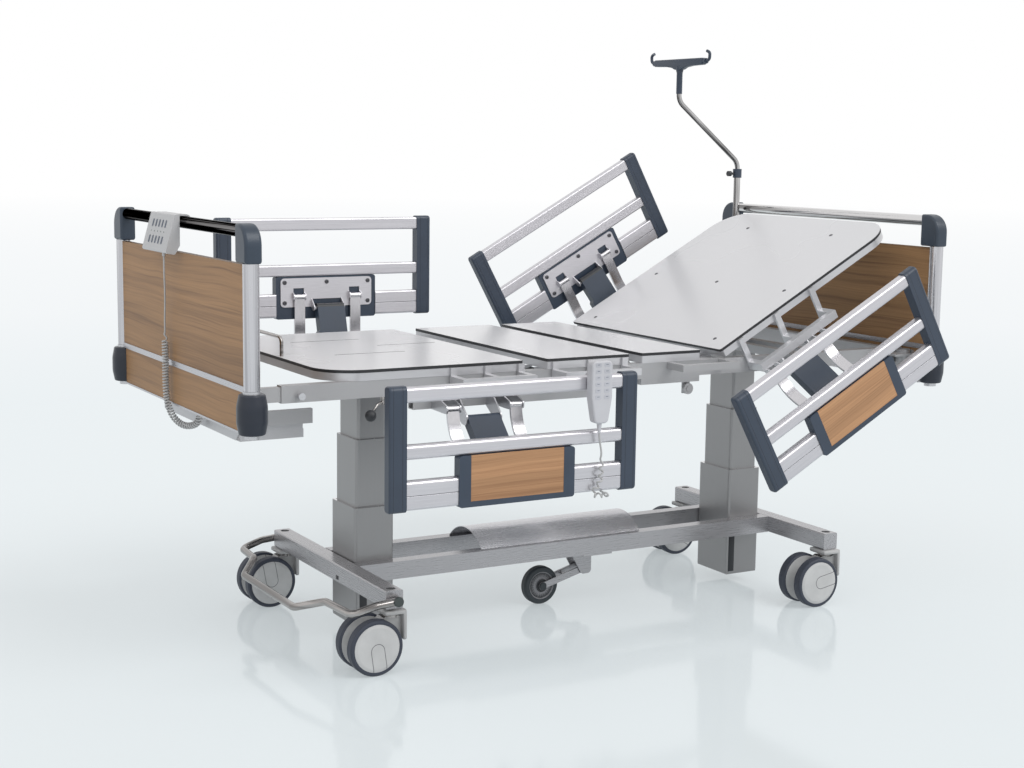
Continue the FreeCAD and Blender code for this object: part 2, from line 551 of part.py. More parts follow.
def upper_frame():
    beam_top = "side_beam_bottom + side_beam_high"
    inner_y = "side_beam_y - side_beam_wide / 2"
    outer_y = "side_beam_y + side_beam_wide / 2"
    pieces = []
    for name, side in SIDES.items():
        beam = hollow(f"side_beam_{name}", ("side_beam_foot", "side_beam_head"),
                      across(side, inner_y, outer_y), ("side_beam_bottom", beam_top), "tube_wall", "x")
        if side == NEAR:
            screw_hole = rod("clamp_hole", "y", "clamp_radius + pin_gap",
                             across(side, f"{outer_y} - tube_wall - 1", f"{outer_y} + 1"),
                             ("clamp_x", "side_beam_bottom + 18"))
            beam = cut("side_beam_near_drilled", beam, screw_hole)
        pieces.append(beam)
        bar_half = v.side_beam_wide / 2 - v.tube_wall - v.glide_gap
        frame_y = f"{side} * side_beam_y"
        gland = cut(f"gland_{name}",
                    box(f"gland_block_{name}", ("side_beam_foot - 7", "side_beam_foot"),
                        across(side, inner_y, outer_y), ("side_beam_bottom", beam_top)),
                    box(f"gland_opening_{name}", ("side_beam_foot - 8", "side_beam_foot + 1"),
                        (f"{frame_y} - {bar_half + 0.3}", f"{frame_y} + {bar_half + 0.3}"),
                        ("side_beam_bottom + tube_wall", f"{beam_top} - tube_wall")))
        pieces.append(gland)
        pieces.append(hollow(f"rail_carrier_{name}", ("carrier_foot", "carrier_head"),
                             across(side, inner_y, outer_y), ("carrier_bottom", "side_beam_bottom"),
                             "tube_wall", "x"))
        pieces.append(box(f"carriage_ledge_{name}", ("back_pivot_x - 115", "back_pivot_x + 145"),
                          across(side, "side_beam_y - side_beam_wide / 2 - 20", inner_y),
                          ("side_beam_bottom", "side_beam_bottom + 4")))
        corner = box(f"corner_plate_{name}", ("side_beam_head - 86", "socket_x"),
                     across(side, outer_y, "socket_y + 38"), ("socket_top - 16", "socket_top - 10"))
        hole = rod(f"corner_hole_{name}", "z", "socket_radius", ("socket_top - 20", "socket_top"),
                   ("socket_x", f"{side} * socket_y"))
        pieces.append(cut(f"corner_plate_{name}_bored", corner, hole))
        pieces.append(tube(f"pole_socket_{name}", "z", "socket_radius", "socket_bore",
                           ("socket_top - 86", "socket_top"), ("socket_x", f"{side} * socket_y")))
    pieces.append(tube("pole_bush", "z", "socket_bore", "pole_radius + 0.1",
                       ("socket_top - 80", "socket_top + 4"), ("socket_x", "socket_y")))
    pole_floor = rod("pole_floor", "z", "socket_bore", ("socket_top - 86", "socket_top - 80.3"),
                     ("socket_x", "socket_y"))
    pieces.append(pole_floor)
    for name, side in SIDES.items():
        pieces.append(box(f"bearer_{name}", ("seat_foot", "seat_head - 2"), across(side, inner_y, outer_y),
                          ("side_beam_bottom - bearer_high", "side_beam_bottom")))
        pieces.append(box(f"roller_cheek_{name}", ("seat_head - 50", "seat_head - 26"),
                          across(side, "side_beam_y - 3", "side_beam_y + 3"),
                          ("side_beam_bottom - bearer_high - 34", "side_beam_bottom - bearer_high")))
        pieces.append(tube(f"bearer_roller_{name}", "y", "16", "8", across(side, "side_beam_y + 3", outer_y),
                           ("seat_head - 38", "side_beam_bottom - bearer_high - 20")))
        pieces.append(rod(f"roller_stub_{name}", "y", "7.9", across(side, "side_beam_y + 3", f"{outer_y} + 2"),
                          ("seat_head - 38", "side_beam_bottom - bearer_high - 20")))
    inner_span = (f"-({inner_y})", inner_y)
    for end in ("foot", "head"):
        for sign in ("-", "+"):
            x = f"column_{end}_x {sign} 45"
            pieces.append(hollow(f"column_crossbeam_{end}_{'a' if sign == '-' else 'b'}",
                                 (f"{x} - 15", f"{x} + 15"), inner_span,
                                 ("inner_top + flange_thick", beam_top), "tube_wall", "y"))
    pieces.append(hollow("head_crossbeam", ("side_beam_head - 60", "side_beam_head - 30"), inner_span,
                         ("side_beam_bottom", beam_top), "tube_wall", "y"))
    pieces.append(hollow("middle_crossbeam", ("hinge_x + 18", "hinge_x + 48"), inner_span,
                         ("side_beam_bottom", "side_beam_bottom + cross_high"), "tube_wall", "y"))
    for name, side in SIDES.items():
        pieces.append(box(f"head_mount_plate_{name}", ("side_beam_head", "head_board_x - panel_thick / 2"),
                          across(side, "side_beam_y - 60", "side_beam_y + 60"),
                          ("lower_panel_bottom + 8", "bumper_top - 8")))
        pieces.append(box(f"seat_wing_bar_{name}", ("seat_foot + 88", "seat_head + 82"),
                          across(side, "wing_y - wing_bar", "wing_y"),
                          ("wing_bottom", "wing_bottom + wing_high")))
        for number, x in enumerate(("seat_foot + 88", "seat_head + 64")):
            pieces.append(box(f"seat_wing_cross_{name}_{number}", (x, f"{x} + wing_bar"),
                              across(side, outer_y, "wing_y - wing_bar"),
                              ("wing_bottom", "wing_bottom + wing_high")))
        root = -(v.rail_pivot_y - v.side_beam_y - v.side_beam_wide / 2)
        low = v.carrier_bottom - v.foot_rail_z
        pieces.append(bracket_set(f"foot_bracket_{name}", foot_rail_mount(side), (root, root + 30), low, low + 38))
    knuckles = hinge_knuckles("seat_hinge", v.hinge_x, [-320, 320], v.hinge_x + 18, v.side_beam_bottom
                              + v.cross_high)
    pieces += knuckles
    node("upper_frame", pieces)


def hinge_knuckles(name, pivot_x, stations, root_x, root_z):
    """Lugs and pins of a section hinge: each lug holds a pin that the moving lug turns on."""
    pieces = []
    for number, y in enumerate(stations):
        outline = [(root_x, root_z), (root_x + 20, root_z), (root_x + 14, v.hinge_z + 3, 4),
                   (pivot_x, v.hinge_z + v.knuckle_radius, 6), (pivot_x - 8, v.hinge_z, 7),
                   (pivot_x, v.hinge_z - v.knuckle_radius, 6)]
        lug = pad(f"{name}_lug_{number}", "xz", [outline], y - 4, y + 4)
        pin = rod(f"{name}_pin_{number}", "y", "hinge_pin", (f"{y} + 4", f"{y} + 16"),
                  (f"{pivot_x}", "hinge_z"))
        pieces.append(fuse(f"{name}_{number}", lug, pin))
    return pieces


def foot_rail_mount(side):
    """Frame of a foot rail's lower pivot: local +Y points outward, +Z up."""
    turn = Rotation() if side == FAR else Rotation(Vector(0, 0, 1), 180)
    return Placement(Vector(v.foot_rail_x, side * v.rail_pivot_y, v.foot_rail_z), turn)


def backrest_frame_place():
    return Placement(Vector(v.back_pivot_x, 0, v.back_pivot_z), tilt_about_y(v.back_angle))


def head_rail_local(side):
    """Frame of a head rail's lower pivot on the backrest, whose own X runs up along it."""
    turn = Rotation() if side == FAR else Rotation(Vector(0, 0, 1), 180)
    return Placement(Vector(v.head_rail_along, side * v.rail_pivot_y, v.head_rail_off), turn)


def head_rail_mount(side):
    """The same frame in the bed's own coordinates, with the backrest raised."""
    return backrest_frame_place().multiply(head_rail_local(side))


# Mattress platform

def board(name, x_low, x_high, corners, slots=()):
    """A laminate board; corners are the radii at (low x, high x)."""
    outline = [(x_low, -v.board_half, corners[0]), (x_high, -v.board_half, corners[1]),
               (x_high, v.board_half, corners[1]), (x_low, v.board_half, corners[0])]
    plate = pad(name, "xy", [outline], v.board_top - v.board_thick, v.board_top)
    for number, (low, high, y) in enumerate(slots):
        pocket(plate, f"{name}_slot_{number}", "xy",
               [[(low, y - 2.5), (high, y - 2.5), (high, y + 2.5), (low, y + 2.5)]],
               v.board_top - v.board_thick, v.board_top)
    return plate


def rim(name, x_low, x_high, corners, bottom):
    """The aluminium rim under a board, following its outline."""
    def loop(inset):
        radii = [max(radius - inset, 0) for radius in corners]
        half = v.board_half - inset
        low, high = x_low + inset, x_high - inset
        return [(low, -half, radii[0]), (high, -half, radii[1]), (high, half, radii[1]), (low, half, radii[0])]

    return pad(name, "xy", [loop(1), loop(1 + v.rim_thick)], bottom, v.board_top - v.board_thick)


def wings(name, x_low, x_high, count):
    """Ladder-shaped side wings outside a section's rim."""
    pieces = []
    for side_name, side in SIDES.items():
        bars = [box(f"{name}_wing_{side_name}", (f"{x_low}", f"{x_high}"),
                    across(side, "wing_y - wing_bar", "wing_y"), ("wing_bottom", "wing_bottom + wing_high"))]
        for number in range(count):
            x = x_low + number * (x_high - x_low - v.wing_bar) / (count - 1)
            bars.append(box(f"{name}_rung_{side_name}_{number}", (f"{x}", f"{x} + wing_bar"),
                            across(side, "board_half + 7", "wing_y - wing_bar"),
                            ("wing_bottom", "wing_bottom + wing_high")))
            bars.append(box(f"{name}_lug_{side_name}_{number}", (f"{x}", f"{x} + wing_bar"),
                            across(side, "board_half - 1", "board_half + 7"),
                            ("wing_bottom", "board_top - board_thick")))
        pieces += bars
    return pieces


def moving_lugs(name, pivot_x, stations, root_x, toward):
    """Lugs of a moving section: they hang from its rim bar down to the hinge axis."""
    pieces = []
    for number, y in enumerate(stations):
        outline = [(root_x, v.rim_bottom), (root_x + toward * 22, v.rim_bottom),
                   (pivot_x - toward * 3, v.hinge_z - v.knuckle_radius, 6),
                   (pivot_x - toward * 10, v.hinge_z, 6), (pivot_x - toward * 2, v.rim_bottom - 0.3, 2)]
        lug = pad(f"{name}_lug_{number}", "xz", [outline], y, y + 8)
        hole = rod(f"{name}_hole_{number}", "y", "hinge_pin + pin_gap", (f"{y - 1}", f"{y + 9}"),
                   (f"{pivot_x}", "hinge_z"))
        pieces.append(cut(f"{name}_bored_{number}", lug, hole))
    return pieces


def platform():
    seat_rim = rim("seat_rim", v.seat_foot, v.seat_head, (6, 6), v.side_beam_bottom + v.side_beam_high)
    node("seat_board", [board("seat_plate", v.seat_foot, v.seat_head, (6, 6)), seat_rim])

    thigh = [board("thigh_plate", v.thigh_foot, v.thigh_head, (6, 6)),
             rim("thigh_rim", v.thigh_foot, v.thigh_head, (6, 6), v.rim_bottom)]
    thigh += wings("thigh", v.thigh_foot + 14, v.thigh_head - 10, 3)
    thigh += moving_lugs("thigh_hinge", v.hinge_x, [-315.5, 324.5], v.thigh_head - 1, -1)
    knee = hinge_knuckles_below("knee", v.knee_x, [-300, 300], v.thigh_foot + 1)
    thigh += knee
    node("thigh_section", thigh)

    slots = [(-693, -479, 208), (-689, -478, -100), (-492, -309, 51)]
    leg = [board("leg_plate", v.leg_foot, v.leg_head, (v.leg_corner, 6), slots),
           rim("leg_rim", v.leg_foot, v.leg_head, (v.leg_corner, 6), v.rim_bottom)]
    leg += wings("leg", -495, -200 - 74, 3)
    leg += moving_lugs("leg_hinge", v.knee_x, [-295.5, 304.5], v.leg_head - 1, -1)
    node("leg_section", leg)

    bow = pipe("stop_bow", [(v.leg_foot + 13, -68, v.board_top), (v.leg_foot + 13, -68, v.board_top + 51),
                            (v.leg_foot + 13, 176, v.board_top + 51), (v.leg_foot + 13, 176, v.board_top)],
               5, [18, 18])
    node("mattress_stop", [bow])


def hinge_knuckles_below(name, pivot_x, stations, root_x):
    """Lugs with pins that hang from the thigh's foot edge to the knee axis."""
    pieces = []
    for number, y in enumerate(stations):
        outline = [(root_x, v.rim_bottom), (root_x + 22, v.rim_bottom),
                   (pivot_x + 3, v.hinge_z - v.knuckle_radius, 6), (pivot_x - 10, v.hinge_z, 6),
                   (pivot_x + 2, v.rim_bottom - 0.3, 2)]
        lug = pad(f"{name}_lug_{number}", "xz", [outline], y - 4, y + 4)
        pin = rod(f"{name}_pin_{number}", "y", "hinge_pin", (f"{y} + 4", f"{y} + 16"),
                  (f"{pivot_x}", "hinge_z"))
        pieces.append(fuse(f"{name}_{number}", lug, pin))
    return pieces


# Backrest

def backrest():
    place = backrest_frame_place()
    top = v.back_top
    foot = v.back_foot
    outline = [(foot, -v.board_half, 6), (v.back_length, -v.board_half, v.back_corner),
               (v.back_length, v.board_half, v.back_corner), (foot, v.board_half, 6)]
    plate = pad("back_plate", "xy", [outline], top - v.board_thick, top)
    node("backrest_board", [plate], place)

    def loop(inset):
        radius = v.back_corner - inset
        half = v.board_half - inset
        low_u, high_u = v.back_rim_foot - 1 + inset, v.back_length - inset
        return [(low_u, -half, 2), (high_u, -half, radius), (high_u, half, radius), (low_u, half, 2)]

    low = v.rim_bottom - v.back_pivot_z
    pieces = [pad("back_rim", "xy", [loop(1), loop(1 + v.rim_thick)], low, top - v.board_thick)]
    for name, side in SIDES.items():
        bore = "back_tube + pin_gap"
        lug = pad(f"back_lug_{name}", "xz",
                  [[(-18, -20, 14), (20, -20, 14), (60, low, 4), (-18, low, 4)], ("circle", 0, 0,
                   v.back_tube + v.pin_gap)], side * 288 - 6, side * 288 + 6)
        rail = box(f"back_long_bar_{name}", ("back_rim_foot + rim_thick", "back_length - 1 - rim_thick"),
                   across(side, "282", "294"), (f"{low}", "back_top - board_thick"))
        pieces += [lug, rail]
        bars = [box(f"back_wing_{name}", ("back_wing_foot", "back_wing_head"),
                    across(side, "back_wing_y - wing_bar", "back_wing_y"),
                    ("back_wing_top - back_wing_high", "back_wing_top"))]
        span = v.back_wing_head - v.back_wing_foot - v.wing_bar
        for number in range(3):
            x = v.back_wing_foot + number * span / 2
            bars.append(box(f"back_rung_{name}_{number}", (f"{x}", f"{x} + wing_bar"),
                            across(side, "board_half + 7", "back_wing_y - wing_bar"),
                            ("back_wing_top - back_wing_high", "back_wing_top")))
            bars.append(box(f"back_rung_lug_{name}_{number}", (f"{x}", f"{x} + wing_bar"),
                            across(side, "board_half - 1", "board_half + 7"),
                            ("back_wing_top - back_wing_high", f"{top - v.board_thick}")))
        pieces += bars
        under = v.back_wing_top - v.back_wing_high - v.head_rail_off
        root = (-(v.rail_pivot_y - v.back_wing_y + v.wing_bar), -(v.rail_pivot_y - v.back_wing_y))
        pieces.append(bracket_set(f"head_bracket_{name}", head_rail_local(side), root, under - 8, under))
    node("backrest_frame", pieces, place)

    axle = rod("back_axle", "y", "back_tube", ("-340", "340"), ("back_pivot_x", "back_pivot_z"))
    blocks = [axle]
    for name, side in SIDES.items():
        blocks.append(box(f"slide_block_{name}", ("back_pivot_x - 42", "back_pivot_x + 42"),
                          across(side, "340", "side_beam_y - side_beam_wide / 2 - glide_gap"),
                          ("side_beam_bottom + 4 + glide_gap", "side_beam_bottom + side_beam_high - 4")))
    fork = pad("drive_fork", "xz", [[
        (v.back_pivot_x - 16, v.back_pivot_z - 10, 6), (v.back_pivot_x + 16, v.back_pivot_z - 10, 6),
        (v.back_pivot_x + 16, v.carrier_bottom - 12, 6), (v.back_pivot_x - 16, v.carrier_bottom - 12, 6)]],
        -14, 14)
    push_rod = rod("drive_rod", "x", "11", ("back_pivot_x - 250", "back_pivot_x - 10"),
                   ("0", "carrier_bottom + 6"))
    node("backrest_carriage", [fuse("carriage_body", *blocks, fork, push_rod)])


def drives():
    """Spindle drive of the backrest, hung between the seat crossbeam and its motor."""
    centre = ("0", "carrier_bottom + 6")
    barrel = cut("drive_barrel", rod("drive_barrel_outer", "x", "24",
                                     ("back_pivot_x - 420", "back_pivot_x - 115"), centre),
                 rod("drive_barrel_bore", "x", "11.1", ("back_pivot_x - 330", "back_pivot_x - 114"), centre))
    motor = box("drive_motor", ("back_pivot_x - 520", "back_pivot_x - 420"), ("-46", "46"),
                ("carrier_bottom - 36", "carrier_bottom + 36"))
    motor = soften("drive_motor_soft", motor, 16, along("x"))
    hanger = box("drive_hanger", ("hinge_x + 20", "hinge_x + 46"), ("-20", "20"),
                 ("carrier_bottom + 36", "side_beam_bottom"))
    saddle = cut("drive_saddle", box("drive_saddle_block", ("hinge_x + 20", "hinge_x + 46"), ("-32", "32"),
                                     ("carrier_bottom - 24", "carrier_bottom + 36")),
                 rod("drive_saddle_bore", "x", "24", ("hinge_x + 19", "hinge_x + 47"), centre))
    node("backrest_drive", [barrel, motor, hanger, saddle])


# Side rails

def rail_arm_body(name, at):
    """One curved arm: a flat bar bent outward, with a bored boss at each end."""
    half = v.arm_wide / 2
    outline = ribbon([(0, 0), (v.arm_bow, v.arm_bow_at), (0, v.rail_arm)], [0, 110, 0], v.arm_thick / 2)
    strip = pad(name, "yz", [outline], at - half, at + half)
    bosses = [rod(f"{name}_boss_{end}", "x", "8", (f"{at - half}", f"{at + half}"), ("0", height))
              for end, height in (("low", "0"), ("high", "rail_arm"))]
    holes = [rod(f"{name}_hole_{end}", "x", radius, (f"{at - half - 1}", f"{at + half + 1}"), ("0", height))
             for end, radius, height in (("low", "arm_pin + pin_gap", "0"),
                                         ("high", "link_pin + pin_gap", "rail_arm"))]
    return cut(f"{name}_bored", fuse(f"{name}_whole", strip, *bosses), *holes)


def rail(name, mount_place, angle):
    """One side rail with its parallelogram linkage, at a swing angle from upright."""
    swing = Rotation(Vector(1, 0, 0), -angle)
    arms_place = mount_place.multiply(Placement(Vector(), swing))
    node(f"{name}_arms", [rail_arm_body(f"{name}_arm_a", -v.arm_at), rail_arm_body(f"{name}_arm_b", v.arm_at)],
         arms_place)

    radius = v.link_thick / 2
    shell = pad(f"{name}_link_body", "yz", [[
        (-radius, -radius, radius - 0.5), (radius, -radius, radius - 0.5),
        (radius, v.rail_arm + radius, radius - 0.5), (-radius, v.rail_arm + radius, radius - 0.5)]],
        -v.link_half, v.link_half)
    pocket(shell, f"{name}_link_neck", "xz", [[
        (-v.link_half - 1, v.rail_arm * 0.62), (-v.link_half + 6, v.rail_arm * 0.66),
        (-v.link_half + 6, v.rail_arm + radius + 1), (-v.link_half - 1, v.rail_arm + radius + 1)]],
        -radius - 1, radius + 1)
    grip = box(f"{name}_grip", ("-link_half + 12", "link_half - 12"), ("link_thick / 2 - 1", "link_thick / 2 + 7"),
               ("rail_arm * 0.34", "rail_arm * 0.50"))
    holes = [rod(f"{name}_link_hole_{end}", "x", "link_pin + pin_gap", ("-link_half - 1", "link_half + 1"),
                 ("0", height)) for end, height in (("low", "0"), ("high", "rail_arm"))]
    link_place = mount_place.multiply(Placement(Vector(0, v.link_in, v.link_down), swing))
    node(f"{name}_link", [cut(f"{name}_link_bored", fuse(f"{name}_link_whole", shell, grip), *holes)],
         link_place)

    lift = math.radians(angle)
    at_rail = Placement(Vector(0, v.rail_arm * math.sin(lift), v.rail_arm * math.cos(lift)), Rotation())
    rail_place = mount_place.multiply(at_rail)
    rail_frame(name, rail_place)
    rail_panel(name, rail_place)


def rail_frame(name, place):
    """Three aluminium bars between two plastic end caps."""
    half = v.rail_length / 2
    bottom = -v.rail_below_pivot
    inner, outer = v.rail_bar_inner, v.rail_bar_inner + v.rail_bar_deep
    bars = {
        "top": (bottom + 269, bottom + 307, -half + v.rail_cap, half - v.rail_cap),
        "middle": (bottom + 129, bottom + 165, -half + v.rail_cap, half - v.rail_cap),
        "low_foot": (bottom + 3, bottom + 76, -half + v.rail_cap, -v.housing_half),
        "low_head": (bottom + 3, bottom + 76, v.housing_half, half - v.rail_cap),
    }
    pieces = []
    for bar, (low, high, start, end) in bars.items():
        outline = [(inner, low, 6), (outer, low, 9), (outer, high, 9), (inner, high, 6)]
        pieces.append(pad(f"{name}_{bar}", "yz", [outline], start, end))
    for end, sign in (("foot", -1), ("head", 1)):
        low, high = sorted((sign * (half - v.rail_cap), sign * half))
        outline = [(v.rail_bar_inner - 3, bottom - 1, 10), (v.rail_outer, bottom - 1, 12),
                   (v.rail_outer, v.rail_above_pivot, 12), (v.rail_bar_inner - 3, v.rail_above_pivot, 10)]
        cap = pad(f"{name}_cap_{end}", "yz", [outline], low, high)
        outer_x = sign * half
        pieces.append(soften(f"{name}_cap_{end}_soft", cap, 6,
                             lambda edge: all(abs(point.X - outer_x) < 1e-3 for point in edge.Vertexes)))
    node(f"{name}_frame", pieces, place)


def rail_panel(name, place):
    """Housing with its wood inset outside and the steel hinge plate inside."""
    bottom = -v.rail_below_pivot - 2
    housing = pad(f"{name}_housing", "xz", [[
        (-v.housing_half, bottom, 8), (v.housing_half, bottom, 8),
        (v.housing_half, v.housing_top, 8), (-v.housing_half, v.housing_top, 8)]],
        v.housing_inner, v.housing_outer)
    pocket(housing, f"{name}_inset_recess", "xz", [[
        (-v.inset_half, v.inset_bottom), (v.inset_half, v.inset_bottom),
        (v.inset_half, v.housing_top + 1), (-v.inset_half, v.housing_top + 1)]],
        v.housing_outer - v.inset_deep, v.housing_outer)
    inset = box(f"{name}_inset", ("-inset_half", "inset_half"),
                ("housing_outer - inset_deep", "housing_outer - 0.5"), ("inset_bottom", "housing_top"))
    windows = []
    reach = v.arm_wide / 2
    for side in (NEAR, FAR):
        low, high = sorted((side * (v.arm_at - reach - v.side_gap), side * (v.arm_at + reach + v.side_gap)))
        windows.append([(low, -12, 1), (high, -12, 1), (high, 26, 1), (low, 26, 1)])
    plate_low = v.housing_inner - v.plate_thick
    slot_half = v.link_half + v.side_gap
    plate = pad(f"{name}_plate", "xz", [[
        (-v.plate_half, -32, 12), (-slot_half, -32), (-slot_half, -8), (slot_half, -8),
        (slot_half, -32), (v.plate_half, -32, 12), (v.plate_half, 57, 12), (-v.plate_half, 57, 12)],
        *windows], plate_low, v.housing_inner)
    ears = []
    for side in (NEAR, FAR):
        for inner in (v.arm_at - reach - v.side_gap - 3, v.arm_at + reach + v.side_gap):
            low, high = sorted((side * inner, side * (inner + 3)))
            outline = [(plate_low, -14), (plate_low, 14), (-8, 7, 5), (-8, -7, 5)]
            ears.append(pad(f"{name}_ear_{len(ears)}", "yz", [outline], low, high))
        low, high = sorted((side * (v.arm_at - reach - v.side_gap), side * (v.arm_at + reach + v.side_gap)))
        ears.append(rod(f"{name}_ear_pin_{len(ears)}", "x", "link_pin", (f"{low}", f"{high}"), ("0", "0")))
        low, high = sorted((side * slot_half, side * (slot_half + 3)))
        outline = [(plate_low, -32), (plate_low, -6), (v.link_in - 8, v.link_down + 6, 5),
                   (v.link_in - 8, v.link_down - 8, 5), (v.link_in + 8, v.link_down - 8, 5)]
        ears.append(pad(f"{name}_ear_{len(ears)}", "yz", [outline], low, high))
    ears.append(rod(f"{name}_link_pin_high", "x", "link_pin", ("-link_half - side_gap", "link_half + side_gap"),
                    ("link_in", "link_down")))
    screws = [rod(f"{name}_screw_{number}", "y", "6.5", (f"{plate_low - 2.5}", f"{plate_low}"), (x, z))
              for number, (x, z) in enumerate((("-plate_half + 13", "44"), ("plate_half - 13", "44"),
                                               ("-plate_half + 13", "-19"), ("plate_half - 13", "-19"),
                                               ("0", "44")))]
    node(f"{name}_panel", [housing, inset, fuse(f"{name}_hinge_plate", plate, *ears)] + screws, place)


def rails():
    upright = v.rail_up
    lowered = v.rail_up + v.rail_swing
    rail("rail_foot_near", foot_rail_mount(NEAR), lowered)
    rail("rail_foot_far", foot_rail_mount(FAR), upright)
    rail("rail_head_near", head_rail_mount(NEAR), lowered)
    rail("rail_head_far", head_rail_mount(FAR), upright)


# End boards

def end_board(name, x):
    """A lift-off end board: posts, corner caps, handrail, trim and a wood panel."""
    pieces = []
    for side_name, side in SIDES.items():
        post = rod(f"{name}_post_{side_name}", "z", "post_radius", ("post_bottom", "post_top"),
                   (x, f"{side} * post_y"))
        spigot = rod(f"{name}_spigot_{side_name}", "z", "spigot_radius",
                     ("post_bottom - spigot_long", "post_bottom"), (x, f"{side} * post_y"))
        pieces.append(fuse(f"{name}_leg_{side_name}", post, spigot))
        inner, outer = v.post_y - 50, v.post_y + v.post_radius + 2
        top = v.handrail_z + v.handrail_radius + 3
        outline = [(side * inner, v.post_top, 4), (side * outer, v.post_top, 3), (side * outer, top, 52),
                   (side * inner, top, 4)]
        middle = getattr(v, x)
        cap = pad(f"{name}_cap_{side_name}", "yz", [outline], middle - 22, middle + 22)
        pieces.append(soften(f"{name}_cap_{side_name}_soft", cap, 8,
                             lambda edge: max(p.Z for p in edge.Vertexes) > top - 60
                             and not along("x")(edge) and abs(edge.BoundBox.XLength) < 0.01
                             and not all(abs(abs(p.Y) - inner) < 5 for p in edge.Vertexes)))
    pieces.append(rod(f"{name}_handrail", "y", "handrail_radius", ("-post_y + 50", "post_y - 50"),
                      (x, "handrail_z")))
    reach = "post_y - post_radius - 2 - glide_gap"
    trim = box(f"{name}_trim", (f"{x} - 12", f"{x} + 12"), (f"-({reach})", reach),
               ("post_bottom - 7", "post_bottom - 7 + trim_high"))
    pieces.append(trim)
    node(f"{name}_frame", pieces)
    panel = box(f"{name}_wood", (f"{x} - panel_thick / 2", f"{x} + panel_thick / 2"),
                ("-post_y + post_radius", "post_y - post_radius"),
                ("post_bottom - 7 + trim_high", "panel_top"))
    node(f"{name}_panel", [panel])


def end_panel(name, x):
    """The fixed lower panel of one end with its corner bumpers and the sockets of the end board."""
    middle = getattr(v, x)
    pieces = [box(f"{name}_wood", (f"{x} - panel_thick / 2", f"{x} + panel_thick / 2"),
                  ("-post_y + bumper_radius - 2", "post_y - bumper_radius + 2"),
                  ("lower_panel_bottom", "bumper_top - 0.3")),
              box(f"{name}_lip", (f"{x} - panel_thick / 2 - 2", f"{x} + panel_thick / 2 + 2"),
                  ("-post_y + bumper_radius", "post_y - bumper_radius"),
                  ("lower_panel_bottom - 5", "lower_panel_bottom"))]
    for side_name, side in SIDES.items():
        radius = v.bumper_radius
        bore = v.spigot_radius + v.glide_gap
        outline = [(bore, v.bumper_bottom), (radius - 6, v.bumper_bottom, 5), (radius, v.bumper_bottom + 30, 60),
                   (radius, v.bumper_top - 30, 60), (radius - 6, v.bumper_top, 5), (bore, v.bumper_top)]
        barrel = turned(f"{name}_bumper_{side_name}", outline,
                        Placement(Vector(middle, side * v.post_y, 0), Rotation()))
        notch = box(f"{name}_notch_{side_name}", (f"{x} - panel_thick / 2", f"{x} + panel_thick / 2"),
                    across(side, "post_y - bumper_radius - 4", "post_y - bumper_radius + 2"),
                    ("lower_panel_bottom - 1", "bumper_top + 1"))
        pieces.append(cut(f"{name}_bumper_{side_name}_notched", barrel, notch))
        pieces.append(tube(f"{name}_collar_{side_name}", "z", "post_radius + 2", "spigot_radius + glide_gap",
                           ("bumper_top", "post_bottom - 0.3"), (x, f"{side} * post_y")))
        pieces.append(rod(f"{name}_foot_stub_{side_name}", "z", "18", ("bumper_bottom - 10", "bumper_bottom"),
                          (x, f"{side} * post_y")))
    return pieces


# Foot extension

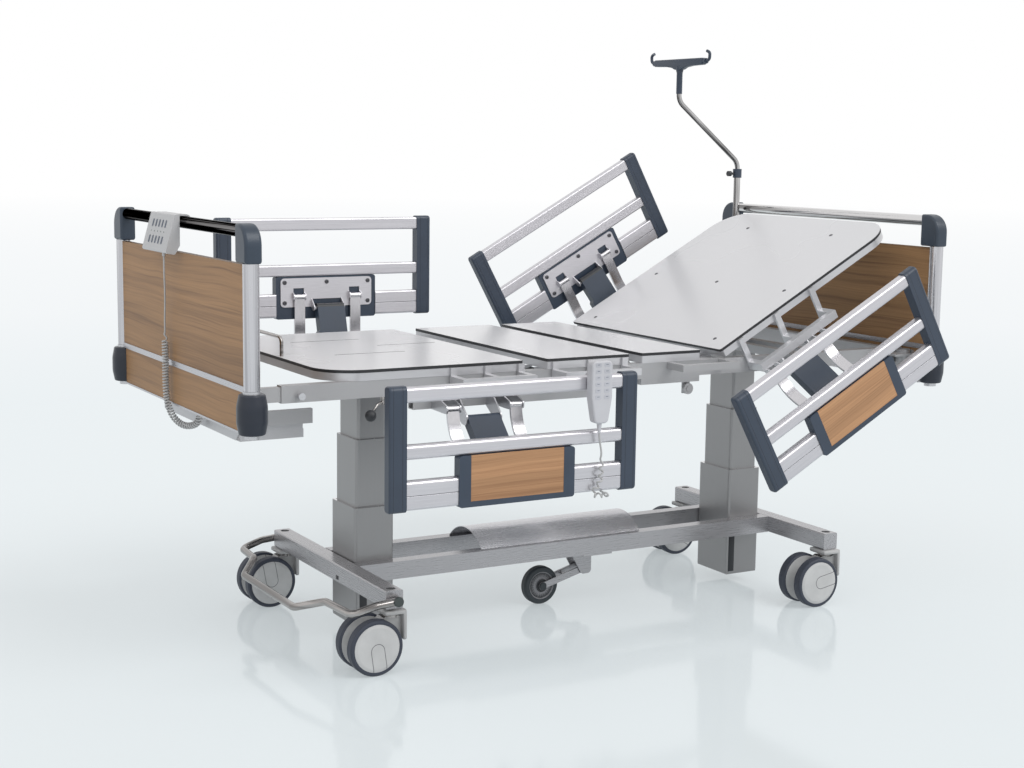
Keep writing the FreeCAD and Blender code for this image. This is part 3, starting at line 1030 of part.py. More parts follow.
def foot_extension():
    pieces = []
    beam_half = v.side_beam_wide / 2 - v.tube_wall - v.glide_gap
    for name, side in SIDES.items():
        pieces.append(hollow(f"extension_bar_{name}", ("foot_board_x + 17", "extension_inner_end"),
                             (f"{side} * side_beam_y - {beam_half}", f"{side} * side_beam_y + {beam_half}"),
                             ("side_beam_bottom + tube_wall + glide_gap",
                              "side_beam_bottom + side_beam_high - tube_wall - glide_gap"), "2.5", "x"))
        web = "shelf_half + 16"
        pieces.append(fuse(f"shelf_runner_{name}",
                           box(f"runner_web_{name}", ("foot_board_x + 45", "runner_head"),
                               across(side, web, f"{web} + 2"), ("runner_bottom", "runner_bottom + runner_high")),
                           box(f"runner_low_{name}", ("foot_board_x + 45", "runner_head"),
                               across(side, f"{web} - 12", web), ("runner_bottom", "runner_bottom + 2")),
                           box(f"runner_top_{name}", ("foot_board_x + 45", "runner_head"),
                               across(side, f"{web} - 12", web),
                               ("runner_bottom + runner_high - 2", "runner_bottom + runner_high"))))
        pieces.append(box(f"runner_hanger_{name}", ("foot_board_x + 45", "foot_board_x + 75"),
                          across(side, f"{web} - 12", f"{web} + 2"),
                          ("runner_bottom + runner_high", "side_beam_bottom - glide_gap")))
    pieces.append(hollow("extension_cross", ("foot_board_x + 17", "foot_board_x + 45"),
                         ("-side_beam_y - 20", "side_beam_y + 20"),
                         ("side_beam_bottom - 36", "side_beam_bottom - glide_gap"),
                         "tube_wall", "y"))
    for name, side in SIDES.items():
        pieces.append(box(f"extension_foot_plate_{name}",
                          ("foot_board_x + panel_thick / 2", "foot_board_x + 17"),
                          across(side, "side_beam_y - 60", "side_beam_y + 60"),
                          ("lower_panel_bottom + 8", "bumper_top - 8")))
    socket = tube("cord_gland", "z", "coil_radius + 2", "3",
                  ("side_beam_bottom - 50", "side_beam_bottom - 36"), ("foot_board_x + 31", "-46"))
    pieces.append(socket)
    node("foot_extension_frame", pieces)
    node("foot_end_panel", end_panel("foot_end", "foot_board_x"))

    tray_low = "shelf_bottom"
    floor = box("shelf_floor", ("shelf_foot + 2", "shelf_head"), ("-shelf_half + 2", "shelf_half - 2"),
                (tray_low, f"{tray_low} + 2"))
    front = pad("shelf_front", "yz", [[
        (-v.shelf_half + 26, v.shelf_bottom), (v.shelf_half - 26, v.shelf_bottom),
        (v.shelf_half, v.shelf_bottom + 22), (-v.shelf_half, v.shelf_bottom + 22)]],
        v.shelf_foot, v.shelf_foot + 2)
    walls = []
    for name, side in SIDES.items():
        walls.append(box(f"shelf_wall_{name}", ("shelf_foot + 2", "shelf_head"),
                         across(side, "shelf_half - 2", "shelf_half"), (tray_low, "runner_bottom + 9")))
        walls.append(box(f"shelf_rim_{name}", ("shelf_foot + 6", "shelf_head"),
                         across(side, "shelf_half", "shelf_half + 15.7"),
                         ("runner_bottom + 2 + glide_gap", "runner_bottom + 9")))
    back = box("shelf_back", ("shelf_head", "shelf_head + 2"), ("-shelf_half", "shelf_half"),
               (tray_low, f"{tray_low} + 22"))
    node("linen_shelf", [fuse("shelf_tray", floor, front, back, *walls)])

    face = "side_beam_y + side_beam_wide / 2"
    centre = ("clamp_x", "side_beam_bottom + 18")
    shank = rod("clamp_shank", "y", "clamp_radius", across(NEAR, f"{face} - tube_wall", f"{face} + 22"), centre)
    knob = rod("clamp_knob", "y", "9", across(NEAR, f"{face} + 12", f"{face} + 24"), centre)
    node("extension_clamp_screw", [fuse("clamp_screw", shank, knob)])


def release_lever():
    """Short lever with a ball knob on a stud under the near side beam."""
    y = -v.side_beam_y
    stud_top = v.side_beam_bottom - v.glide_gap
    bar = pipe("lever_rod", [(v.lever_x, y, stud_top - 14), (v.lever_x - 24, y - 12, stud_top - 18),
                             (v.lever_x - 46, y - 26, stud_top - 38)], 4, [20])
    hub = rod("lever_hub", "z", "10", ("side_beam_bottom - 22", "side_beam_bottom - glide_gap"),
              ("lever_x", "-side_beam_y"))
    knob = doc.addObject("Part::Sphere", "lever_knob")
    knob.Radius = 15
    knob.Placement = Placement(Vector(v.lever_x - 52, y - 30, stud_top - 44), Rotation())
    node("release_lever", [fuse("lever_body", bar, hub, knob)])


# Infusion pole

def infusion_pole():
    centre = ("socket_x", "socket_y")
    lower = tube("pole_lower_tube", "z", "pole_radius", "pole_radius - pole_wall",
                 ("socket_top - 80", "pole_joint"), centre)
    collar = tube("pole_collar_ring", "z", "pole_radius + 4", "pole_radius - 0.05",
                  ("pole_joint - 26", "pole_joint"), centre)
    lid = tube("pole_collar_lid", "z", "pole_radius + 4", "pole_inner + pin_gap + 0.05",
               ("pole_joint", "pole_joint + 4"), centre)
    thread = rod("pole_thread", "x", "4 + pin_gap", ("socket_x - 20", "socket_x"),
                 ("socket_y", "pole_joint - 12"))
    node("iv_pole_lower", [cut("pole_lower_body", fuse("pole_lower_whole", lower, collar, lid), thread)])
    screw = rod("pole_screw", "x", "4", ("socket_x - 30", "socket_x - pole_inner - glide_gap"),
                ("socket_y", "pole_joint - 12"))
    grip = rod("pole_grip", "x", "9", ("socket_x - 40", "socket_x - 28"), ("socket_y", "pole_joint - 12"))
    node("iv_pole_clamp", [fuse("pole_clamp_body", screw, grip)])
    top_x = v.socket_x - v.pole_lean
    run = pipe("pole_upper_tube", [(v.socket_x, v.socket_y, v.pole_joint - 400),
                                   (v.socket_x, v.socket_y, v.pole_bend),
                                   (top_x, v.socket_y, v.pole_lean_z),
                                   (top_x, v.socket_y, v.hook_bar_z)], v.pole_inner, [45, 45])
    bar = rod("hook_bar", "y", "9", (f"{v.socket_y - v.hook_half}", f"{v.socket_y + v.hook_half}"),
              (f"{top_x}", "hook_bar_z"))
    pieces = [run, bar]
    for number, sign in enumerate((-1, 1)):
        y = v.socket_y + sign * v.hook_half
        pieces.append(pipe(f"hook_{number}", [
            (top_x, y - sign * 4, v.hook_bar_z), (top_x, y + sign * 16, v.hook_bar_z + 4),
            (top_x, y + sign * 18, v.hook_bar_z + 26), (top_x, y + sign * 2, v.hook_bar_z + 32)], 5, [10, 10]))
    node("iv_pole_upper", [fuse("pole_upper_body", *pieces)])


# Hand controls

def controls():
    front = -(v.rail_pivot_y + v.rail_arm * math.sin(math.radians(v.rail_up + v.rail_swing)) + v.rail_outer)
    rail_top = v.foot_rail_z + v.rail_arm * math.cos(math.radians(v.rail_up + v.rail_swing)) \
        + v.rail_above_pivot
    inner = front - 1.2
    outer = inner - v.handset_thick
    half = v.handset_wide / 2
    low = v.handset_top - v.handset_long
    body = pad("handset_shell", "xz", [[
        (v.handset_x - half * 0.62, low, 12), (v.handset_x + half * 0.62, low, 12),
        (v.handset_x + half, low + 66, 60), (v.handset_x + half, v.handset_top, 14),
        (v.handset_x - half, v.handset_top, 14), (v.handset_x - half, low + 66, 60)]], outer, inner)
    bar_top = rail_top - v.rail_above_pivot - v.rail_below_pivot + 307
    seat = bar_top + v.cord_seat
    back = front + v.rail_outer - v.rail_bar_inner + v.cord_seat
    hook = pad("handset_hook", "yz", [[
        (inner - 2, seat), (inner - 2, seat + 5), (back + 4, seat + 5, 6), (back + 4, seat - 30),
        (back, seat - 30), (back, seat, 2)]], v.handset_x - 14, v.handset_x + 14)
    node("handset", [fuse("handset_body", soften("handset_soft", body, 5, outline_edges(outer)), hook)])

    x = v.handset_x
    y = (inner + outer) / 2
    rail_bottom = rail_top - v.rail_above_pivot - v.rail_below_pivot
    lead = pipe("handset_lead", [(x, y, low), (x, y, low - 36), (x + 9, y + 1, low - 74),
                                 (x + 9, y + 1, rail_bottom + 76)], v.cord_radius)
    node("handset_cord_lead", [lead])
    top = rail_bottom + 76
    bunch = pad("handset_bunch", "xz", [[
        (x - 4, top, 3), (x + 22, top, 3), (x + 24, rail_bottom + 26, 10), (x + 42, rail_bottom + 4, 9),
        (x + 22, rail_bottom - 12, 9), (x - 24, rail_bottom - 10, 9), (x - 14, rail_bottom + 12, 9)]],
        front - 22, front - 1.2)
    node("handset_cord_coil", [bunch])

    panel_x = v.foot_board_x - v.handrail_radius - 0.3
    top_z = v.handrail_z + v.handrail_radius + 4 + v.cord_seat
    low_z = top_z - v.staff_high
    span = (v.staff_y - v.staff_wide / 2, v.staff_y + v.staff_wide / 2)
    shell = pad("staff_shell", "xz", [[
        (panel_x, top_z, 4), (panel_x, low_z + 24, 6), (panel_x - 14, low_z, 6),
        (panel_x - 14 - v.staff_thick, low_z + 4, 6), (panel_x - 12, top_z, 6)]], *span)
    clip = pad("staff_clip", "xz", [[
        (panel_x - 4, top_z), (v.foot_board_x + 18, top_z, 12), (v.foot_board_x + 18, v.handrail_z - 4),
        (v.foot_board_x + 16.3, v.handrail_z - 4), (v.foot_board_x + 16.3, top_z - 4, 10),
        (panel_x - 4, top_z - 4)]], span[0] + 12, span[1] - 12)
    exit_x = panel_x - 14 - v.staff_thick / 2
    start_z = low_z - 6
    exit_y = v.staff_y - 48
    relief = rod("staff_relief", "z", "4.5", (f"{start_z}", f"{low_z + 8}"), (f"{exit_x}", f"{exit_y}"))
    node("staff_control_panel", [fuse("staff_body", shell, clip, relief)])

    coil_top = v.post_bottom + 84
    hang_x = v.foot_board_x - 25
    hang_y = v.staff_y + 9
    lead_path = [(exit_x, exit_y, start_z), (exit_x, exit_y, start_z - 42), (exit_x + 6, exit_y + 14, start_z - 88),
                 (hang_x - 4, hang_y - 17, start_z - 130), (hang_x, hang_y, start_z - 170), (hang_x, hang_y, coil_top)]
    node("staff_cord_lead", [pipe("staff_lead", lead_path, v.cord_radius)])
    gland_bottom = v.side_beam_bottom - 50
    gland_x = v.foot_board_x + 31
    edge = v.lower_panel_bottom
    coil_path = [(hang_x, hang_y, coil_top), (hang_x, hang_y, edge + 78), (hang_x, hang_y - 3, edge + 8),
                 (hang_x + 8, hang_y - 19, edge - 34), (hang_x + 28, hang_y - 51, edge - 60),
                 (hang_x + 50, hang_y - 89, edge - 54), (gland_x, -46, edge - 32), (gland_x, -46, gland_bottom)]
    node("staff_cord_coil", [pipe("staff_coil", coil_path, v.coil_radius)])


def outline_edges(level):
    """A test for the edges that lie in one plane of constant y."""
    return lambda edge: all(abs(point.Y - level) < 1e-3 for point in edge.Vertexes)


# Build and check

def build():
    castors()
    base()
    steering_wheel()
    pedal()
    columns()
    upper_frame()
    platform()
    backrest()
    drives()
    rails()
    end_board("footboard", "foot_board_x")
    end_board("headboard", "head_board_x")
    foot_extension()
    node("head_end_panel", end_panel("head_end", "head_board_x"))
    release_lever()
    infusion_pole()
    controls()
    doc.recompute()


def verify():
    for item in doc.Objects:
        assert not {"Invalid", "Error"} & set(item.State), f"{item.Name}: {item.State}"
    for name, group in nodes.items():
        shape = group.Shape
        assert not shape.isNull() and shape.isValid(), f"{name} has no valid shape"
        assert shape.Solids, f"{name} has no solid"


build()
verify()
os.makedirs("parts", exist_ok=True)
for name, group in nodes.items():
    group.Shape.exportStep(f"parts/{name}.step")
print(len(nodes), "sub-parts written")
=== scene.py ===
import math

import bmesh
import bpy
from mathutils import Matrix, Vector


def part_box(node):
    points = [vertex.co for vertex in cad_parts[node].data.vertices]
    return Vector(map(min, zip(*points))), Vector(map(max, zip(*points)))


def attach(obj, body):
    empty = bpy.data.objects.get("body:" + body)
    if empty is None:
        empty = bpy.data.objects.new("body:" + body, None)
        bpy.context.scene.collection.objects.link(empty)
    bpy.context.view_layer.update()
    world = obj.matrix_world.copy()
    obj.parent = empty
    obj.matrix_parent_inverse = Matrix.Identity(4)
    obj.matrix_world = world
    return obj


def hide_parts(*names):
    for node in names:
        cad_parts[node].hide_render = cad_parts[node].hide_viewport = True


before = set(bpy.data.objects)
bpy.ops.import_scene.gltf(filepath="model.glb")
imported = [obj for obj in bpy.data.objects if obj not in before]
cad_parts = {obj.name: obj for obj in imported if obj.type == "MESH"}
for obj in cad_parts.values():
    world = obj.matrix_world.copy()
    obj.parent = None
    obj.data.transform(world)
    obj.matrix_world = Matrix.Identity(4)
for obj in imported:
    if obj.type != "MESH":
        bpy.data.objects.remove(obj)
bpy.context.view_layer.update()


# Base frame
# Two crossbars and two long beams of box tube, welded into the frame that carries the lifting columns.
# Stainless steel with a fine brushed grain along each beam, and dark moulded plugs at the ends.

def finish(name, metallic, roughness, **plain):
    """An empty finish, with the values that are the same all over it."""
    made = bpy.data.materials.new(name)
    made.use_nodes = True
    shader = made.node_tree.nodes["Principled BSDF"]
    shader.inputs["Metallic"].default_value = metallic
    shader.inputs["Roughness"].default_value = roughness
    for socket, value in plain.items():
        shader.inputs[socket.replace("_", " ")].default_value = value
    return made


def add_node(tree, kind, outlet, settings):
    """Add a node. A lowercase setting is a property of the node, any other one of its sockets."""
    item = tree.nodes.new(kind)
    for key, value in settings.items():
        numbered = key[1:].isdigit()
        if key[0].islower() and not numbered:
            setattr(item, key, value)
            continue
        socket = item.inputs[int(key[1:]) if numbered else key.replace("_", " ")]
        sources = value if isinstance(value, list) else [value]
        if isinstance(sources[0], bpy.types.NodeSocket):
            for source in sources:
                tree.links.new(source, socket)
        else:
            socket.default_value = value
    return item.outputs[outlet]


def layer(made, kind, outlet=0, **settings):
    """Add a node to a finish, or to the world, and give one of its outlets."""
    return add_node(made.node_tree, "ShaderNode" + kind, outlet, settings)


def blend(made, share, first, second):
    """A colour that goes from the first to the second as the share rises from 0 to 1."""
    return layer(made, "Mix", 2, data_type="RGBA", i0=share, i6=first, i7=second)


def coat(made, **sources):
    """Lead outlets to the shader's own sockets."""
    shader = made.node_tree.nodes["Principled BSDF"]
    for socket, source in sources.items():
        made.node_tree.links.new(source, shader.inputs[socket.replace("_", " ")])
    return made


def shade(made, source, dark, light, low=0.3, high=0.7):
    """A colour that goes from dark to light as the source rises from low to high."""
    share = layer(made, "MapRange", Value=source, From_Min=low, From_Max=high)
    return blend(made, share, (*dark, 1), (*light, 1))


def tones(colour, spread):
    """A colour a little darker and a little lighter."""
    return [value * (1 - spread) for value in colour], [min(value * (1 + spread), 1) for value in colour]


def brushed(name, colour, stretch, roughness=0.33, metallic=0.85, spread=0.07):
    """Brushed metal: fine lines along the axis whose stretch is small, and a soft cloudiness."""
    made = finish(name, metallic, roughness)
    where = layer(made, "TexCoord", "Object")
    drawn = layer(made, "Mapping", Vector=where, Scale=stretch)
    lines = layer(made, "TexNoise", Vector=drawn, Scale=480.0, Detail=3.0, Roughness=0.6)
    cloud = layer(made, "TexNoise", Vector=where, Scale=5.0, Detail=3.0, Roughness=0.5)
    both = layer(made, "Math", operation="MULTIPLY_ADD", i0=cloud, i1=0.5, i2=lines)
    gloss = layer(made, "MapRange", Value=both, From_Min=0.5, From_Max=1.0,
                  To_Min=roughness - 0.03, To_Max=roughness + 0.04)
    relief = layer(made, "Bump", Strength=0.015, Distance=0.0002, Height=lines)
    tone = shade(made, both, *tones(colour, spread), 0.5, 1.0)
    return coat(made, Base_Color=tone, Roughness=gloss, Normal=relief)


def moulded(name, colour, roughness=0.42, grain=900.0, relief=0.25, spread=0.12):
    """Moulded plastic: a fine spark-eroded texture and a slight unevenness of gloss."""
    made = finish(name, 0.0, roughness)
    where = layer(made, "TexCoord", "Object")
    pits = layer(made, "TexNoise", Vector=where, Scale=grain, Detail=2.0, Roughness=0.6)
    cloud = layer(made, "TexNoise", Vector=where, Scale=9.0, Detail=4.0, Roughness=0.55)
    gloss = layer(made, "MapRange", Value=cloud, From_Min=0.3, From_Max=0.7,
                  To_Min=roughness - 0.05, To_Max=roughness + 0.06)
    bump = layer(made, "Bump", Strength=relief, Distance=0.0002, Height=pits)
    tone = shade(made, cloud, *tones(colour, spread))
    return coat(made, Base_Color=tone, Roughness=gloss, Normal=bump)


def dress(node, finishes, choose=None):
    """Give a CAD node its finishes; choose(centre, normal) picks one of them for each face."""
    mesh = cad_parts[node].data
    mesh.materials.clear()
    for made in finishes:
        mesh.materials.append(made)
    for face in mesh.polygons:
        face.material_index = int(choose(face.center, face.normal)) if choose else 0


def settle(name, shape, place, made, body, sharp=35):
    """Put a worked shape in its place as a piece that moves with a body; edges over sharp stay sharp."""
    mesh = bpy.data.meshes.new(name)
    shape.to_mesh(mesh)
    shape.free()
    mesh.transform(place)
    mesh.materials.append(made)
    mesh.shade_smooth()
    mesh.set_sharp_from_angle(angle=math.radians(sharp))
    piece = bpy.data.objects.new(name, mesh)
    bpy.context.scene.collection.objects.link(piece)
    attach(piece, body)


steel_along = brushed("steel_brushed_along", (0.41, 0.405, 0.42), (0.03, 1.0, 1.0), 0.28, 0.65, 0.02)
steel_across = brushed("steel_brushed_across", (0.41, 0.405, 0.42), (1.0, 0.03, 1.0), 0.28, 0.65, 0.02)
steel_sheet = brushed("steel_sheet", (0.60, 0.595, 0.62), (0.03, 1.0, 1.0), 0.26, 0.75, 0.02)
navy_plastic = moulded("plastic_navy_grey", (0.033, 0.048, 0.075), 0.4)
black_plastic = moulded("plastic_black", (0.018, 0.02, 0.024), 0.45)
base_top, crossbar_end, stem_y, stem_hole_shade_radius = 0.217, 0.3945, 0.37, 0.014
beams_side, beams_foot, beams_head = 0.122, -0.62, 0.79


def base_part(at, normal):
    """Black end plugs, painted shade in the sunk round holes over the castor stems, grain along X on the
    long beams and along Y on the crossbars.
    """
    sunk = base_top - 0.003 < at.z < base_top - 0.0005 and abs(normal.z) > 0.9
    # The sunk round faces over the stems take the black finish as painted shade in the holes.
    if abs(at.y) > crossbar_end or (sunk and abs(abs(at.y) - stem_y) < stem_hole_shade_radius):
        return 2
    return 0 if abs(at.y) < beams_side and beams_foot < at.x < beams_head else 1


dress("base_frame", [steel_along, steel_across, black_plastic], base_part)
dress("base_cover", [steel_sheet])


def eased_plate(name, centre, size, ease, made, body):
    """A flat piece with eased edges, such as a small cover, or a black plate of painted shade in a hole or a
    slot.
    """
    shape = bmesh.new()
    bmesh.ops.create_cube(shape, size=1.0)
    bmesh.ops.scale(shape, vec=size, verts=shape.verts)
    bmesh.ops.bevel(shape, geom=shape.edges[:], offset=ease, segments=3, profile=0.5, affect="EDGES")
    settle(name, shape, Matrix.Translation(centre), made, body, sharp=40)


# Painted shade: thin black plates stand in for the shade in a small hole on the crossbar, and in a slot low
# at the foot end and at the head end.
eased_plate("crossbar_hole_painted_shade", (-0.6732, -0.078, 0.1805), (0.0016, 0.015, 0.011), 0.0006,
            black_plastic, "base")
for end, slot_x in (("foot", -0.5955), ("head", 0.6835)):
    eased_plate(f"slot_painted_shade_{end}", (slot_x, -0.0812, 0.098), (0.022, 0.0016, 0.112), 0.0006,
                black_plastic, "base")


# Brake pedal bow
# One bent stainless tube round the foot end, which locks the castors when it is stepped on.
# A rubber plug covers its pivot on each end of the crossbar.

def polished(name, colour, roughness=0.06, streaks=None, dark_share=0.93, low=0.3, high=0.7):
    """Polished metal: slight waviness and fingerprints in the gloss, and darker streaks in the colour along
    a drawn tube, which on the chrome handrails are painted reflections.
    """
    made = finish(name, 1.0, roughness)
    where = layer(made, "TexCoord", "Object")
    wave = layer(made, "TexNoise", Vector=where, Scale=14.0, Detail=2.0)
    mark = layer(made, "TexNoise", Vector=where, Scale=60.0, Detail=5.0)
    gloss = layer(made, "MapRange", Value=mark, From_Min=0.35, From_Max=0.75,
                  To_Min=roughness, To_Max=roughness + 0.09)
    tone = wave
    if streaks:
        drawn = layer(made, "Mapping", Vector=where, Scale=streaks)
        tone = layer(made, "TexNoise", Vector=drawn, Scale=75.0, Detail=3.0, Roughness=0.6)
    dark = [value * dark_share for value in colour]
    bump = layer(made, "Bump", Strength=0.05, Distance=0.0005, Height=wave)
    return coat(made, Base_Color=shade(made, tone, dark, colour, low, high), Roughness=gloss, Normal=bump)


def turned(name, outline, place, made, body):
    """A turned piece: the outline is in (radius, height), from one end on the axis to the other."""
    segments = 48
    shape = bmesh.new()
    rings = []
    for radius, height in outline:
        if radius < 1e-6:
            rings.append([shape.verts.new((0, 0, height))])
            continue
        rings.append([shape.verts.new((radius * math.cos(2 * math.pi * number / segments),
                                       radius * math.sin(2 * math.pi * number / segments), height))
                      for number in range(segments)])
    closed = len(rings[0]) > 1
    for lower, upper in zip(rings, rings[1:] + rings[:1] if closed else rings[1:]):
        for number in range(segments):
            after = (number + 1) % segments
            corners = [lower[number % len(lower)], lower[after % len(lower)],
                       upper[after % len(upper)], upper[number % len(upper)]]
            unique = list(dict.fromkeys(corners))
            if len(unique) > 2:
                shape.faces.new(unique)
    bmesh.ops.recalc_face_normals(shape, faces=shape.faces)
    settle(name, shape, place, made, body)


steel_tube = polished("steel_tube", (0.42, 0.40, 0.39), 0.15, (0.05, 0.02, 1.0), 0.45, 0.4, 0.6)
dress("brake_pedal_bar", [steel_tube])
plug_rubber = moulded("plug_grey_green", (0.050, 0.062, 0.062), 0.5)
plug_outline = [(0, -0.006), (0.0115, -0.006), (0.0135, -0.004), (0.0135, 0.0025), (0.0115, 0.0045),
                (0.004, 0.0055), (0, 0.0055)]
plug_x, plug_y, plug_z = -0.648, 0.4205, 0.192
for side, sign in (("near", -1), ("far", 1)):
    outward = Matrix.Rotation(-sign * math.pi / 2, 4, "X")
    turned(f"pedal_plug_{side}", plug_outline, Matrix.Translation((plug_x, sign * plug_y, plug_z)) @ outward,
           plug_rubber, "pedal")


# Lifting columns
# Three rectangular stainless tubes slide in one another at each end and raise the bed.
# The grain runs upright and each stage is a little slimmer; its top faces are polished and painted much
# lighter, a painted highlight along the top edge.

steel_upright = brushed("steel_brushed_upright", (0.30, 0.298, 0.302), (1.0, 1.0, 0.02), 0.34, 0.72, 0.025)
# Painted highlight: upward faces of the tubes get this much lighter polished metal; the gloss is real, and
# the light colour stands in for the highlight.
top_painted_highlight = polished("steel_cut_edge", (0.72, 0.72, 0.73), 0.2)
for column in ("column_outer_tubes", "column_middle_tubes", "column_inner_tubes"):
    dress(column, [steel_upright, top_painted_highlight], lambda at, normal: normal.z > 0.5)


# Castors
# Twin-wheel swivel castors, 150 mm across: grey moulded covers over a navy-grey tyre tread.
# Each cover has a slot-shaped groove that runs out to the rim.

def split(made, vector):
    """The three coordinates of a vector."""
    return layer(made, "SeparateXYZ", Vector=vector).node.outputs


def cover_plastic(name, middle, turn):
    """Light grey cover with a slot-shaped groove round the wheel's middle, turned by an angle; the groove is
    a real bump and is also painted near-black as painted shade.
    """
    slot_run, slot_radius = 0.007, 0.019
    made = finish(name, 0.0, 0.38)
    where = layer(made, "TexCoord", "Object")
    moved = layer(made, "Mapping", Vector=where, Location=(-middle[0], 0, -middle[1]))
    placed = layer(made, "Mapping", Vector=moved, Rotation=(0, turn, 0))
    parts = split(made, placed)
    raised = layer(made, "Math", operation="ADD", i0=parts[2], i1=slot_run)
    above = layer(made, "Math", operation="MAXIMUM", i0=raised, i1=0.0)
    flat = layer(made, "CombineXYZ", X=parts[0], Z=above)
    reach = layer(made, "VectorMath", "Value", operation="LENGTH", i0=flat)
    off = layer(made, "Math", operation="SUBTRACT", i0=reach, i1=slot_radius)
    groove = layer(made, "MapRange", Value=layer(made, "Math", operation="ABSOLUTE", i0=off),
                   From_Min=0.0004, From_Max=0.0013)
    cloud = layer(made, "TexNoise", Vector=where, Scale=22.0, Detail=4.0)
    skin = shade(made, cloud, (0.50, 0.50, 0.50), (0.58, 0.58, 0.58))
    # Painted shade: the groove's near-black colour stands in for the shade inside the recess.
    colour = blend(made, groove, (0.10, 0.10, 0.11, 1), skin)
    bump = layer(made, "Bump", Strength=0.6, Distance=0.0008, Height=groove)
    return coat(made, Base_Color=colour, Normal=bump)


tread = moulded("tyre_navy", (0.035, 0.042, 0.062), 0.55, 500.0, 0.4)
castor_grey = moulded("castor_housing_grey", (0.46, 0.46, 0.46), 0.4)
wheel_trail, wheel_radius, cover_radius, stem_low = 0.062, 0.075, 0.0632, 0.145
castors = {"foot": (-0.648, {"near": math.radians(8), "far": math.radians(190)}),
           "head": (0.821, {"near": math.radians(100), "far": math.radians(60)})}
for end, (stem_x, turns) in castors.items():
    for side, turn in turns.items():
        middle = (stem_x - wheel_trail, wheel_radius)
        cover = cover_plastic(f"castor_cover_{end}_{side}", middle, turn)
        dress(f"caster_wheels_{end}_{side}", [tread, cover],
              lambda at, normal: math.hypot(at.x - middle[0], at.z - middle[1]) < cover_radius)
        dress(f"caster_fork_{end}_{side}", [castor_grey, steel_tube],
              lambda at, normal: at.z > stem_low)
        at_y = -stem_y if side == "near" else stem_y
        body = f"fork_{end}_{side}"
        eased_plate(f"castor_hood_{end}_{side}", (stem_x, at_y, 0.1592), (0.064, 0.072, 0.0132), 0.005,
                    castor_grey, body)
        eased_plate(f"castor_apron_{end}_{side}", (stem_x + 0.0265, at_y, 0.122), (0.011, 0.072, 0.078),
                    0.0045, castor_grey, body)


# Fifth wheel
# A steering wheel under the middle, on a trailing fork between two cheek plates.

dark_rubber = moulded("tyre_dark", (0.028, 0.036, 0.042), 0.55, 500.0, 0.4)
hub_grey = moulded("hub_grey", (0.27, 0.27, 0.285), 0.45)
fork_pivot_x, fork_run, fork_drop = 0.172, 0.152, 0.0397
hub_x, hub_z = fork_pivot_x - math.sqrt(fork_run ** 2 - fork_drop ** 2), 0.0583
hub_rim, hub_groove, hub_bore = 0.0425, (0.0335, 0.0355), 0.0155


def wheel_part(at, normal):
    """A rubber tyre on a grey hub, which has a black groove and a black middle."""
    reach = math.hypot(at.x - hub_x, at.z - hub_z)
    if reach > hub_rim:
        return 0
    return 2 if reach < hub_bore or hub_groove[0] < reach < hub_groove[1] else 1


dress("fifth_wheel", [dark_rubber, hub_grey, black_plastic], wheel_part)
dress("fifth_wheel_arm", [steel_along])
arm_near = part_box("fifth_wheel_arm")[0][1]
turned("steer_wheel_cap",
       [(0, -0.0015), (0.0115, -0.0015), (0.0115, 0.0025), (0.0095, 0.0042), (0, 0.005)],
       Matrix.Translation((hub_x, arm_near, hub_z)) @ Matrix.Rotation(math.pi / 2, 4, "X"),
       dark_rubber, "steer_arm")


# Upper frame
# Side beams and crossbars of coated box tube, with the rail brackets, pole sockets and hinge lugs.

silver_coat = brushed("coating_silver", (0.43, 0.43, 0.44), (1.0, 1.0, 1.0), 0.4, 0.4, 0.03)
zinc = brushed("zinc_plate", (0.50, 0.50, 0.52), (1.0, 1.0, 0.2), 0.3, 0.9)
side_beam_face, bracket_top, bracket_head = 0.4025, 0.732, 0.1
dress("upper_frame", [silver_coat, zinc],
      lambda at, normal: abs(at.y) > side_beam_face and at.z < bracket_top and at.x < bracket_head)
rod_start, rod_bottom = -0.027, 0.6
dress("backrest_drive", [black_plastic, zinc], lambda at, normal: at.x > rod_start and at.z > rod_bottom)
dress("backrest_carriage", [silver_coat])


# Platform boards
# Compact laminate boards, pale grey with a black core that shows at the edges, on aluminium rims.

def laminate(name, colour):
    """Pale laminate: faint mottling, a low satin sheen and a very fine orange-peel surface."""
    made = finish(name, 0.0, 0.26, Specular_IOR_Level=0.5)
    where = layer(made, "TexCoord", "Object")
    cloud = layer(made, "TexNoise", Vector=where, Scale=2.2, Detail=2.0, Roughness=0.5)
    speck = layer(made, "TexNoise", Vector=where, Scale=700.0, Detail=1.0)
    gloss = layer(made, "MapRange", Value=cloud, From_Min=0.1, From_Max=0.9, To_Min=0.24, To_Max=0.3)
    tone = layer(made, "Math", operation="MULTIPLY_ADD", i0=speck, i1=0.12, i2=cloud)
    bump = layer(made, "Bump", Strength=0.02, Distance=0.0002, Height=speck)
    dark = [value * 0.955 for value in colour]
    return coat(made, Base_Color=shade(made, tone, dark, colour, 0.2, 0.92), Roughness=gloss, Normal=bump)


pale_board = laminate("laminate_pale", (0.74, 0.74, 0.76))
black_core = moulded("laminate_core_black", (0.02, 0.021, 0.024), 0.5)
rim_silver = brushed("aluminium_rim", (0.60, 0.60, 0.62), (0.06, 0.06, 1.0), 0.32, 0.45, 0.03)
laminate_bottom = 0.7992


def board_part(at, normal):
    """Pale faces and black edges, on silver metal."""
    if at.z < laminate_bottom:
        return 2
    return 0 if abs(normal.z) > 0.5 else 1


for section in ("seat_board", "thigh_section", "leg_section"):
    dress(section, [pale_board, black_core, rim_silver], board_part)
dress("mattress_stop", [steel_tube])


# Backrest
# The same laminate on a raised frame with ladder-shaped wings that carry the head rails.

